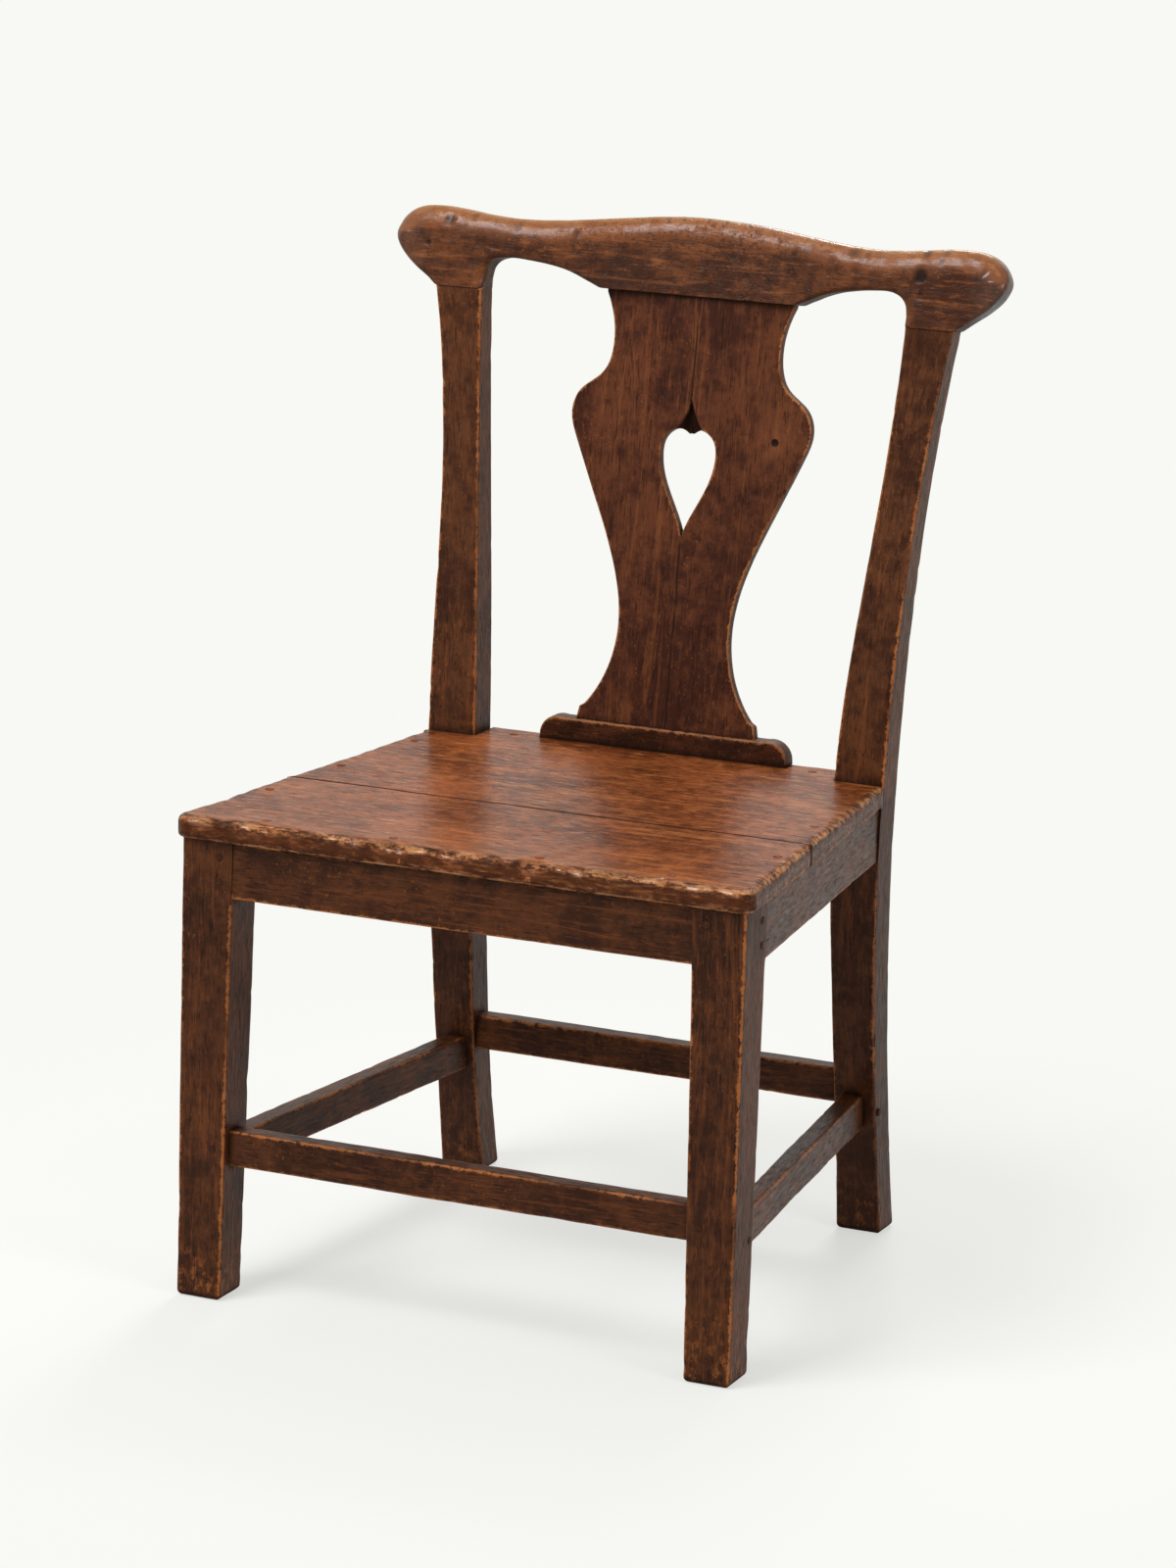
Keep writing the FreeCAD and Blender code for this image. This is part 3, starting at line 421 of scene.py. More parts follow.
# Seat rails and box stretcher: planed oak bars between the legs, tenoned and pegged into them.
# The front and rear bars run along X and the side bars along Y, and only their ends touch the legs.
LAP = 0.7 * MM
for number, (node, axis, radius) in enumerate((
    ("front_seat_rail", 0, 1.4 * MM), ("rear_seat_rail", 0, 1.4 * MM),
    ("front_stretcher", 0, 3.2 * MM), ("rear_stretcher", 0, 3 * MM),
    ("side_seat_rail_left", 1, 1.4 * MM), ("side_seat_rail_right", 1, 1.4 * MM),
    ("side_stretcher_left", 1, 3 * MM), ("side_stretcher_right", 1, 3 * MM),
)):
    low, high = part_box(node)
    middle = (low.z + high.z) / 2
    if axis == 0:
        upright = "front_leg_right" if node.startswith("front") else "back_post_right"
        inner = section_box(upright, 2, middle)[0][0]
        start, end = -inner - LAP, inner + LAP
    else:
        start = section_box("front_leg_right", 2, middle)[1][1] - LAP
        end = section_box("back_post_right", 2, middle)[0][1] + LAP
    bar = timber(f"{node}_wood", node, axis, start, end, radius, leg_oak, 41 + number, clear=9 * MM,
                 rounds=(0.4 * MM, 0.4 * MM), knocks=7)
    placed(bar, node)

# Pegs: eight-sided whittled oak pins that lock the tenons and hold the seat boards down on the rails.
# They are driven through and pared off, and their ends, now as dark as the rest, stand a hair proud.
PROUD = 0.45 * MM
PEG_SIDES, PEG_DOME = 8, 0.03
WELD = 2e-6  # points nearer than this are one


def end_grain(name, dark, brown):
    """Pared end of a peg: rings, pores and stain."""
    material, finish = new_finish(name)
    spot = finish.node("ShaderNodeTexCoord")[3]
    rings = finish.speckle(spot, (620, 620, 620), 3, 0.6)
    stain = finish.between(finish.speckle(spot, (60, 60, 60), 3), 0.4, 0.65)
    colour = finish.mix(finish.between(rings, 0.35, 0.65), paint(dark), paint(brown))
    colour = finish.mix(0.5 * stain, colour, paint(dark))
    bump = finish.node("ShaderNodeBump", {}, {"Strength": 0.4, "Distance": 0.3 * MM, "Height": rings})[0]
    shader = finish.node("ShaderNodeBsdfPrincipled", {}, {
        "Base Color": colour, "Roughness": 0.4 + 0.3 * rings, "Normal": bump, "Specular IOR Level": 0.1,
    })[0]
    finish.node("ShaderNodeOutputMaterial", {}, {"Surface": shader})
    return material


frame_peg_oak = end_grain("pared_peg_oak", "29150b", "462614")
seat_peg_oak = end_grain("polished_peg_oak", "5f321a", "84492a")


def peg_tree():
    """Geometry nodes that set a domed eight-sided pin, turned at random, on each point."""
    tree = bpy.data.node_groups.new("pegs", "GeometryNodeTree")
    tree.interface.new_socket("Geometry", in_out="INPUT", socket_type="NodeSocketGeometry")
    sides = tree.interface.new_socket("Sides", in_out="INPUT", socket_type="NodeSocketInt")
    dome = tree.interface.new_socket("Dome", in_out="INPUT", socket_type="NodeSocketFloat")
    seed = tree.interface.new_socket("Seed", in_out="INPUT", socket_type="NodeSocketInt")
    wood = tree.interface.new_socket("Wood", in_out="INPUT", socket_type="NodeSocketMaterial")
    tree.interface.new_socket("Geometry", in_out="OUTPUT", socket_type="NodeSocketGeometry")
    maker = Finish(tree)
    points, side_count, rise, number, stuff = maker.node("NodeGroupInput")[:5]
    pin = maker.node("GeometryNodeMeshCylinder", {"fill_type": "TRIANGLE_FAN"}, {
        "Vertices": side_count, "Radius": 1.0, "Depth": 2.0})[0]
    x, y, z = maker.node("ShaderNodeSeparateXYZ", {}, {0: maker.node("GeometryNodeInputPosition")[0]})
    middle = maker.node("FunctionNodeCompare", {"operation": "LESS_THAN"}, {0: abs(x) + abs(y), 1: 0.5})[0]
    lift = maker.node("ShaderNodeCombineXYZ", {}, {2: z * rise})[0]
    pin = maker.node("GeometryNodeSetPosition", {}, {0: pin, "Selection": middle, "Offset": lift})[0]
    way = maker.node("GeometryNodeInputNamedAttribute", {"data_type": "FLOAT_VECTOR"}, {"Name": "way"})[0]
    size = maker.node("GeometryNodeInputNamedAttribute", {"data_type": "FLOAT_VECTOR"}, {"Name": "size"})[0]
    turn = maker.node("FunctionNodeAlignRotationToVector", {"axis": "Z"}, {"Vector": way})[0]
    spin = maker.node("FunctionNodeRandomValue", {"data_type": "FLOAT"}, {2: 0.0, 3: 0.7, "Seed": number})[1]
    about = maker.node("ShaderNodeCombineXYZ", {}, {2: spin})[0]
    turn = maker.node("FunctionNodeRotateRotation", {"rotation_space": "LOCAL"}, {0: turn, 1: about})[0]
    pins = maker.node("GeometryNodeInstanceOnPoints", {}, {
        "Points": points, "Instance": pin, "Rotation": turn, "Scale": size})[0]
    pins = maker.node("GeometryNodeRealizeInstances", {}, {0: pins})[0]
    pins = maker.node("GeometryNodeSetMaterial", {}, {"Geometry": pins, "Material": stuff})[0]
    maker.node("NodeGroupOutput", {}, {0: pins})
    return tree, (sides.identifier, dome.identifier, seed.identifier, wood.identifier)


def islands(points, faces):
    """Separate solids in a mesh, as rows of their corner points."""
    spots, which = np.unique(np.round(points / WELD).astype(int), axis=0, return_inverse=True)
    group = np.arange(len(spots))
    joined = which.ravel()[faces]
    for sweep in range(40):
        least = group[joined].min(axis=1)
        before = group.copy()
        for corner in range(3):
            np.minimum.at(group, joined[:, corner], least)
        if (before == group).all():
            break
    owner = group[which.ravel()]
    return [points[owner == number] for number in np.unique(owner)]


pegging, sockets = peg_tree()
for number, node in enumerate(("rail_pegs", "stretcher_pegs", "crest_pegs", "seat_pegs")):
    middles, ways, sizes = [], [], []
    for solid in islands(*mesh_of(node)):
        solid = np.unique(np.round(solid, 6), axis=0)
        middle = solid.mean(0)
        way = np.linalg.svd(solid - middle)[2][0]
        reach = (solid - middle) @ way
        beside = np.linalg.norm(solid - middle - reach[:, None] * way, axis=1).max()
        middles.append(middle)
        ways.append(way)
        sizes.append((beside, beside, np.abs(reach).max() + PROUD))
    mesh = bpy.data.meshes.new(f"{node}_spots")
    mesh.from_pydata([tuple(middle) for middle in middles], [], [])
    for mark, values in (("way", ways), ("size", sizes)):
        mesh.attributes.new(mark, "FLOAT_VECTOR", "POINT").data.foreach_set("vector", np.ravel(values))
    spots = bpy.data.objects.new(f"{node}_spots", mesh)
    bpy.context.scene.collection.objects.link(spots)
    maker = spots.modifiers.new("pegs", "NODES")
    maker.node_group = pegging
    wood = seat_peg_oak if node == "seat_pegs" else frame_peg_oak
    for socket, setting in zip(sockets, (PEG_SIDES, PEG_DOME, 5 + number, wood)):
        maker[socket] = setting
    made = spots.evaluated_get(bpy.context.evaluated_depsgraph_get())
    pegs = bpy.data.objects.new(f"{node}_wood", bpy.data.meshes.new_from_object(made))
    bpy.data.objects.remove(spots)
    bpy.context.scene.collection.objects.link(pegs)
    placed(pegs, node)

# Seat: two oak boards with the grain from side to side, butted with a shrinkage gap and pegged to the
# rails. Sitting has polished the top, and the front nose and end-grain sides are rubbed and split.


def loops_of(points, faces, height, level, flat):
    """Closed outlines of a section, as rows of two coordinates, the longest first."""
    cut = slice_at(points, faces, height, level)[:, :, flat]
    cut = cut[np.linalg.norm(cut[:, 0] - cut[:, 1], axis=1) > 1e-7]
    keys = np.round(cut / WELD).astype(int)
    joins = {}
    for number, (a, b) in enumerate(keys):
        joins.setdefault(tuple(a), []).append((number, 1))
        joins.setdefault(tuple(b), []).append((number, 0))
    left = set(range(len(cut)))
    loops = []
    while left:
        number = min(left)
        left.discard(number)
        loop = [cut[number, 0], cut[number, 1]]
        key = tuple(keys[number, 1])
        onward = [(n, far) for n, far in joins[key] if n in left]
        while onward:
            number, far = onward[0]
            left.discard(number)
            loop.append(cut[number, far])
            key = tuple(keys[number, far])
            onward = [(n, far) for n, far in joins[key] if n in left]
        loops.append(np.array(loop[:-1]))
    return sorted(loops, key=lambda loop: -np.linalg.norm(np.ptp(loop, axis=0)))


def evenly(loop, step, soften):
    """Outline with points a step apart, its corners softened over a distance."""
    closed = np.vstack((loop, loop[:1]))
    run = np.concatenate(([0], np.cumsum(np.linalg.norm(np.diff(closed, axis=0), axis=1))))
    marks = np.linspace(0, run[-1], max(12, round(run[-1] / step)), endpoint=False)
    even = np.stack([np.interp(marks, run, closed[:, column]) for column in range(2)], axis=1)
    reach = max(1, round(3 * soften / step))
    shifts = range(-reach, reach + 1)
    weights = np.exp(-0.5 * (np.array(shifts) * step / soften) ** 2)
    weights /= weights.sum()
    return sum(weight * np.roll(even, shift, axis=0) for shift, weight in zip(shifts, weights))


def area(loop):
    """Area inside an outline, positive where the outline keeps it on its left."""
    return 0.5 * np.sum(loop[:, 0] * np.roll(loop[:, 1], -1) - loop[:, 1] * np.roll(loop[:, 0], -1))


def inward(loop):
    """Unit directions into the wood from an outline that keeps the wood on its left."""
    run = np.roll(loop, -1, axis=0) - np.roll(loop, 1, axis=0)
    run /= np.linalg.norm(run, axis=1)[:, None]
    return np.stack((-run[:, 1], run[:, 0]), axis=1)


def inside(spots, loops):
    """Which spots lie in the wood, by their crossings of all outlines."""
    odd = np.zeros(len(spots), bool)
    for loop in loops:
        for (x0, y0), (x1, y1) in zip(loop, np.roll(loop, -1, axis=0)):
            if y0 != y1:
                crosses = (y0 > spots[:, 1]) != (y1 > spots[:, 1])
                odd ^= crosses & (spots[:, 0] < (x1 - x0) * (spots[:, 1] - y0) / (y1 - y0) + x0)
    return odd


def nearest(spots, rim):
    """Number of the nearest rim point to each spot, and how far it is."""
    found = [np.argmin(np.sum((rim - spot) ** 2, axis=1)) for spot in spots]
    return np.array(found, int), np.linalg.norm(rim[found] - spots, axis=1)


def untangled(loop, shift):
    """Shift of an outline into the wood, eased where its points would pass each other at a tight corner."""
    run = np.roll(loop, -1, axis=0) - loop
    for sweep in range(400):
        moved = loop + shift
        step = np.roll(moved, -1, axis=0) - moved
        crossed = np.sum(step * run, axis=1) < 0.05 * np.sum(run * run, axis=1)
        if not crossed.any():
            break
        near = crossed | np.roll(crossed, 1)
        for widen in range(2):
            near = near | np.roll(near, 1) | np.roll(near, -1)
        eased = (np.roll(moved, 1, axis=0) + moved + np.roll(moved, -1, axis=0)) / 3
        shift = np.where(near[:, None], eased - loop, shift)
    return shift


def board(name, loops, depth, place, rims, finish, seed, along, step=6 * MM, dense=None, carve=None,
          round_points=6, **rough):
    """Board cut to outlines, the outer one first, with rounded rims.

    depth is how thick it is, and place puts flat coordinates and a depth in the chair. rims gives, for an
    outline, the radii at the face and the back, how far the face's rounding spreads, the shelter from wear
    and the darkening of the wall by grime and painted shade. along is the flat axis that the grain follows,
    dense adds points to the face, carve is the depth of carving, which also darkens the cut, and rough says
    how uneven the surface is.
    """
    rng = random.Random(seed)
    loops = [loop if (area(loop) > 0) == (number == 0) else loop[::-1] for number, loop in enumerate(loops)]
    turns = np.linspace(0, math.pi / 2, round_points)
    flat, deep, edge, grime_and_shade, faces, borders = [], [], [], [], [], ([], [])
    total = 0
    for loop in loops:
        face_radius, back_radius, spread, shelter, dirt_and_shade = (
            np.broadcast_to(values, len(loop)) for values in rims(loop))
        way = inward(loop)
        face_shift = untangled(loop, way * (face_radius * spread)[:, None])
        back_shift = untangled(loop, way * back_radius[:, None])
        middle = (face_radius + depth - back_radius) / 2
        layers = [(face_shift * (1 - math.sin(turn)), face_radius * (1 - math.cos(turn)),
                   abs(turn - math.pi / 4) * face_radius, min(1, turn)) for turn in turns]
        layers += [(0 * back_shift, middle, middle - 0.2 * face_radius, 1)]
        layers += [(back_shift * (1 - math.sin(turn)), depth - back_radius * (1 - math.cos(turn)),
                    abs(turn - math.pi / 4) * back_radius, min(1, turn)) for turn in turns[::-1]]
        rings = []
        for shift, sunk, away, dirty in layers:
            flat.append(loop + shift)
            deep.append(sunk)
            edge.append(away + SHELTERED * shelter)
            # Walls darkened as the rims give: grime at the seat joint, painted shade under the crest's
            # arches.
            grime_and_shade.append(dirt_and_shade * dirty)
            rings.append(np.arange(total, total + len(loop)))
            total += len(loop)
        for here, there in zip(rings, rings[1:]):
            quads = np.stack((np.roll(here, -1), here, there, np.roll(there, -1)), axis=1)
            faces += [tuple(quad) for quad in quads.tolist()]
        borders[0].append(rings[0])
        borders[1].append(rings[-1])
    flat, deep, edge, grime_and_shade = (np.concatenate(rows) for rows in (flat, deep, edge, grime_and_shade))
    added = []
    for side, level in ((0, 0.0), (1, depth)):
        outlines = [flat[border] for border in borders[side]]
        rim = np.concatenate(outlines)
        numbers = np.concatenate(borders[side])
        low, high = rim.min(0), rim.max(0)
        columns, rows = (int(count) + 1 for count in (high - low) / step)
        spots = np.array([
            (low[0] + (column + 0.5 * (row % 2) + rng.uniform(-0.2, 0.2)) * step,
             low[1] + (row + rng.uniform(-0.2, 0.2)) * step)
            for column in range(columns) for row in range(rows)
        ])
        gap_least = 0.4 * step
        if dense is not None and side == 0:
            spots, gap_least = np.vstack((spots, dense)), 0.6 * MM
        spots = spots[inside(spots, outlines)]
        close, gap = nearest(spots, rim)
        spots, close, gap = (rows[gap > gap_least] for rows in (spots, close, gap))
        spot_edge = gap + edge[numbers[close]]
        links, offset = [], 0
        for border in borders[side]:
            count = len(border)
            links += [(offset + n, offset + (n + 1) % count) for n in range(count)]
            offset += count
        sites = [Vector(spot) for spot in np.vstack((rim, spots))]
        made, _, triangles, origins, *_ = delaunay_2d_cdt(sites, links, [], 1, 1e-9)
        names = []
        for spot, origin in zip(made, origins):
            source = origin[0] if origin else -1
            if 0 <= source < len(rim):
                names.append(int(numbers[source]))
                continue
            names.append(total + len(added))
            away = spot_edge[source - len(rim)] if source >= 0 else 5 * MM
            added.append((*spot, level, away))
        centres = np.array([np.mean([made[n] for n in triangle], axis=0) for triangle in triangles])
        for triangle, pierced in zip(triangles, inside(centres, outlines[1:])):
            if not pierced:
                found = [names[n] for n in triangle]
                faces.append(tuple(found[::-1] if side else found))
    added = np.array(added)
    flat = np.vstack((flat, added[:, :2]))
    deep = np.concatenate((deep, added[:, 2]))
    marks = {"edge": np.concatenate((edge, added[:, 3])),
             "grime_and_shade": np.concatenate((grime_and_shade, np.zeros(len(added))))}
    if carve is not None:
        cut = np.where(deep < depth / 2, carve(flat), 0)
        deep = np.minimum(deep + cut, np.maximum(deep, depth - 0.5 * MM))
        # Carved hollows darken with their depth: dirt in the crest's dents and the knot hole, painted shade
        # in the splat's chip.
        marks["grime_and_shade"] = np.maximum(marks["grime_and_shade"], np.clip(cut / (1.5 * MM), 0, 1))
    shift = np.array([rng.uniform(-5, 5) for number in range(3)])
    marks["grain"] = np.column_stack((flat[:, 1 - along], deep, flat[:, along])) + shift
    return new_piece(name, place(flat, deep), faces, marks, finish, **rough)


seat_low, seat_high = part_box("seat_board_front")[0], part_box("seat_board_front")[1]
joint = (seat_high.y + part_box("seat_board_rear")[0].y) / 2
SEAT_HALF, SEAT_SIDE, SEAT_TAPER = 0.27, 0.268, 0.092
POST_NOTCH = 0.152  # the rear board is let in round the posts from here back


def seat_wear(finish):
    """Sitting and handling: a paler front band, dark knocks on the nose, and splits in the end grain. Painted
    highlight: pale worn colour on the nose where it faces up; painted shade: its lower half, facing down,
    darkened.
    """
    across, deep = finish.across, finish.deep
    broken = finish.speckle(finish.place, (34, 70, 34), 5, 0.7)
    front = finish.between(deep, seat_low.y + 55 * MM, seat_low.y + 4 * MM)
    front = front * finish.between(broken, 0.4, 0.62)
    finish.stain(0.45 * front, "96603a")
    knocks = finish.speckle(finish.place, (50, 110, 170), 8, 0.78)
    nose = finish.between(finish.edge, 10 * MM, 3 * MM)
    # Painted highlight, with wear: pale colour on the nose where it faces up.
    pale_wear_and_painted_highlight = finish.between(knocks, 0.5, 0.4) * finish.between(finish.upward, 0.25, 0.5)
    finish.stain(0.3 * nose * pale_wear_and_painted_highlight, "cd9a69")
    finish.stain(0.9 * nose * finish.between(knocks, 0.5, 0.58), "28130a")
    finish.relief = finish.relief - 3 * nose * finish.between(knocks, 0.45, 0.6)
    bright = finish.between(deep, seat_low.y + 16 * MM, seat_low.y + 10 * MM)
    finish.polish = 0.5 * bright * nose * finish.between(knocks, 0.52, 0.42)
    # Painted shade: the nose's lower half, facing down, darkened.
    painted_underside_shade = finish.between(finish.upward, 0.65, 0.15) * finish.between(finish.edge, 0.5 * MM, 2.2 * MM)
    painted_underside_shade = painted_underside_shade * finish.between(knocks, 0.38, 0.54, 0.4, 1.0)
    finish.stain(0.86 * painted_underside_shade, "3a1c0c")
    shrunk = finish.between(abs(deep - joint + 2 * MM * (broken - 0.5)), 2.4 * MM, 1 * MM)
    finish.stain(0.85 * shrunk, "1d0f08")
    rim = finish.between(abs(across) + SEAT_TAPER * deep, 0.2, 0.25)
    splits = finish.between(finish.speckle(finish.place, (9, 150, 9), 3, 0.6), 0.6, 0.65) * rim
    finish.stain(0.85 * splits, "1d0f08")
    finish.relief = finish.relief - 4 * splits


seat_oak = oak("polished_seat_oak", "5e2e15", "8b4b27", "bd7542", "c08450", gloss=0.28, shine=0.06,
               rub=3.4 * MM, rubs=0.75, dents=0.4, fleck=(340, 50, 1.6), extra=seat_wear)
# Where the deepest splits open in the sides: across and from front to back.
SPLITS = [(0.2735, -0.218), (-0.2735, -0.205), (0.262, -0.03), (-0.26, 0.02)]


def seat_rims(seed):
    """Rims of a seat board: rounded, bitten and split at front and sides, crisp at the joint and posts."""
    rng = random.Random(seed)
    places = [(rng.uniform(-SEAT_HALF, SEAT_HALF), seat_low.y) for bite in range(70)]
    places += [(rng.choice((-SEAT_SIDE, SEAT_SIDE)), rng.uniform(seat_low.y, 0.15)) for bite in range(50)]
    bites = [(x, y, rng.uniform(0.6, 3) * MM, rng.uniform(3, 12) * MM) for x, y in places]
    bites += [(x, y, 4 * MM, 1.6 * MM) for x, y in SPLITS]

    def rims(loop):
        """Radii, spread, shelter and grime along an outline."""
        joined = np.exp(-((loop[:, 1] - joint) / (3 * MM)) ** 2)
        crisp = np.clip(joined + (loop[:, 1] > POST_NOTCH), 0, 1)
        rough = np.array([1 + 0.3 * noise.noise((x * 18, y * 18, 2)) + 0.18 * noise.noise((x * 80, y * 80, 7))
                          for x, y in loop])
        bitten = sum(hurt * np.exp(-((loop[:, 0] - x) ** 2 + (loop[:, 1] - y) ** 2) / long ** 2)
                     for x, y, hurt, long in bites)
        close = 0.6 * MM + 1.1 * MM * joined * rough
        return ((6.2 * MM * rough + bitten) * (1 - crisp) + close * crisp,
                (0.8 * MM + 2.8 * MM * rough) * (1 - crisp) + 0.7 * MM * crisp, 1.0, crisp, joined)
    return rims


for number, name in enumerate(("front", "rear")):
    node = f"seat_board_{name}"
    points, faces = mesh_of(node)
    outline = loops_of(points, faces, points[:, 2], (seat_low.z + seat_high.z) / 2 + 0.1 * MM, [0, 1])[0]
    seat = board(f"{node}_wood", [evenly(outline, 1.2 * MM, 0.8 * MM)], seat_high.z - seat_low.z,
                 lambda flat, deep: np.column_stack((flat, seat_high.z - deep)),
                 seat_rims(61 + number), seat_oak, 61 + number, along=0, swell=0.4 * MM, ripple=0.22 * MM)
    placed(seat, node)

# Shoe: a strip of oak, sawn with rounded shoulders and grooved along its top for the foot of the splat.
# It is glued down on the seat between the posts, and dusting has rubbed its upper edges.
shoe_low, shoe_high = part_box("shoe")
points, faces = mesh_of("shoe")
outline = loops_of(points, faces, points[:, 1], shoe_low.y + 1.5 * MM, [0, 2])[0]
shoe_oak = oak("waxed_shoe_oak", "2c160b", "482515", "5d321c", "96603a", rub=2.4 * MM)


def shoe_rims(loop):
    """Upper edges eased, lower edge crisp on the seat."""
    rests = np.clip(1 - (loop[:, 1] - SEAT_TOP) / (3 * MM), 0, 1)
    radius = 2.2 * MM - 1.7 * MM * rests
    return radius, radius, 1.0, rests, 0.0


shoe = board("shoe_wood", [evenly(outline, 1.5 * MM, 0.8 * MM)], shoe_high.y - shoe_low.y,
             lambda flat, deep: np.column_stack((flat[:, 0], shoe_low.y + deep, flat[:, 1])),
             shoe_rims, shoe_oak, 71, along=0, step=3.5 * MM)
placed(shoe, "shoe")

# Splat: a thin oak board sawn to a vase and pierced with a heart, with a chip carved over its cusp.
# Its foot stands in the shoe and its head in a groove of the crest rail, leaning with the back.


def unlean(points):
    """Across, behind the post fronts and up along the rake."""
    back, up = points[:, 1] - POST_FRONT, points[:, 2] - SEAT_TOP
    return np.column_stack((points[:, 0], back * math.cos(RAKE) - up * math.sin(RAKE),
                            back * math.sin(RAKE) + up * math.cos(RAKE)))


def leaning(across, behind, along):
    """Points of the leaning back."""
    return np.column_stack((across, POST_FRONT + along * math.sin(RAKE) + behind * math.cos(RAKE),
                            SEAT_TOP + along * math.cos(RAKE) - behind * math.sin(RAKE)))


def splat_shakes(finish):
    """A shake down the middle, through the heart, and a small knot in a shoulder."""
    wander = 9 * MM * (finish.speckle(finish.place, (0, 0, 11), 4, 0.6) - 0.5)
    line = finish.between(abs(finish.across + wander), 1.2 * MM, 0.4 * MM)
    broken = finish.between(finish.speckle(finish.place, (0, 0, 45), 2), 0.32, 0.46)
    finish.stain(0.8 * line * broken, "160b06")
    finish.relief = finish.relief - 3 * line * broken
    knot = finish.node("ShaderNodeVectorMath", {"operation": "DISTANCE"}, {0: finish.place, 1: KNOT})[1]
    hole = finish.between(knot, 4.2 * MM, 3.2 * MM) * finish.between(knot, 0.6 * MM, 2 * MM, 0.4, 1)
    halo = finish.between(knot, 26 * MM, 3 * MM) * finish.between(
        finish.speckle(finish.place, (90, 90, 40), 3), 0.4, 0.6)
    finish.stain(0.45 * halo, "7d4a2c")
    finish.stain(0.9 * hole, "140a05")
    finish.relief = finish.relief - 3 * hole


points, faces = mesh_of("splat")
straight = unlean(points)
splat_front, splat_back = straight[:, 1].min(), straight[:, 1].max()
cuts = loops_of(straight, faces, straight[:, 1], splat_back - 1.2 * MM, [0, 2])
CUSP, CHIP_PEAK, CHIP_HALF = 296.5 * MM, 331 * MM, 17 * MM
KNOT_ACROSS, KNOT_UP = 85 * MM, 298 * MM
HEART_HALF = 50 * MM  # an outline narrower than this is the heart's
KNOT = leaning(*(np.array([value]) for value in (KNOT_ACROSS, splat_front, KNOT_UP)))[0]


def chip(flat):
    """Depth of the chip, hollow-sided from its point down to the heart's cusp, and of the knot hole."""
    up = np.clip((flat[:, 1] - CUSP) / (CHIP_PEAK - CUSP), 0, 1)
    half = CHIP_HALF * (1 - up) ** 1.5 + 1e-6
    share = np.clip(1 - np.abs(flat[:, 0]) / half, 0, 1)
    wanted = (0.3 + 0.7 * (1 - up)) * np.clip(1.9 * share, 0, 1) * (splat_back - splat_front)
    knot = np.hypot(flat[:, 0] - KNOT_ACROSS, flat[:, 1] - KNOT_UP)
    return np.where(flat[:, 1] > CUSP - 9 * MM, wanted, 0) + 1.4 * MM * np.exp(-(knot / (2.6 * MM)) ** 4)


def splat_rims(loop):
    """Crisp but rubbed edges, and the heart's wall darkened more than the outer edges."""
    pierced = np.abs(loop[:, 0]).max() < HEART_HALF
    soft = np.array([1.3 * MM * (1 + 0.4 * noise.noise((x * 25, y * 25, 9))) for x, y in loop])
    return soft, soft, 1.0, 0.0, 0.15 if pierced else 0.05


splat_oak = oak("waxed_splat_oak", "36190f", "5a311d", "7a4728", "a66b3d", rub=1.8 * MM, dents=0.3,
                fleck=(380, 70, 0.4), extra=splat_shakes)
chip_spots = [(x * MM, CUSP + y * MM) for x in np.arange(-17, 17.1, 0.8) for y in np.arange(-6, 37, 0.8)]
knot_spots = [(KNOT_ACROSS + x * MM, KNOT_UP + y * MM) for x in range(-5, 6) for y in range(-5, 6)]
splat = board("splat_wood", [evenly(cuts[0], 1.6 * MM, 0.7 * MM), evenly(cuts[1], 1.4 * MM, 0.8 * MM)],
              splat_back - splat_front,
              lambda flat, deep: leaning(flat[:, 0], splat_front + deep, flat[:, 1]),
              splat_rims, splat_oak, 83, along=1, step=5 * MM, carve=chip, dense=chip_spots + knot_spots)
placed(splat, "splat")

# Crest rail: oak sawn to a serpentine outline and hollow in plan, with round ears over the posts.
# Its upper edges are rasped well round, and hands have worn them smooth and dented the face.
BOW_HALF, BOW = 235 * MM, 22 * MM
SPLAT_HALF = 0.1


def bow(across):
    """How far the crest is sawn hollow in plan: flat ends and three tangent sweeps."""
    share = np.clip(np.abs(across) / BOW_HALF, 0, 1)
    return BOW * np.where(share < 0.5, 1 - 2 * share ** 2, 2 * (1 - share) ** 2)


points, faces = mesh_of("crest_rail")
straight = unlean(points)
behind = straight[:, 1] - bow(straight[:, 0])
crest_front, crest_back = behind.min(), behind.max() + 0.4 * MM
outline = loops_of(straight, faces, behind, crest_front + 4.5 * MM, [0, 2])[0]


def crest_rims(loop):
    """Pillowed top and ears, less rounding under the arches, crisp over the posts and the splat, and painted
    shade on the walls below the top.
    """
    top = np.clip(0.6 - inward(loop)[:, 1], 0, 1)
    over_splat = (np.abs(loop[:, 0]) < SPLAT_HALF) & (loop[:, 1] < POST_LENGTH + 14 * MM)
    lug = (loop[:, 1] < POST_LENGTH + 2.5 * MM) | over_splat
    crisp = np.convolve(np.concatenate((lug[-3:], lug, lug[:3])), np.full(7, 1 / 7), "valid")
    rough = np.array([1 + 0.16 * noise.noise((x * 16, y * 16, 4)) for x, y in loop])
    face = 1.1 * MM * crisp + (5 * MM + 7 * MM * top) * rough * (1 - crisp)
    back = 1.1 * MM * crisp + (3 * MM + 6 * MM * top) * rough * (1 - crisp)
    # The last value is painted shade on the lower walls, darkest under the arches.
    return face, back, 1 + 0.75 * top * (1 - crisp), np.maximum(crisp, 1 - top), 0.7 * (1 - top)


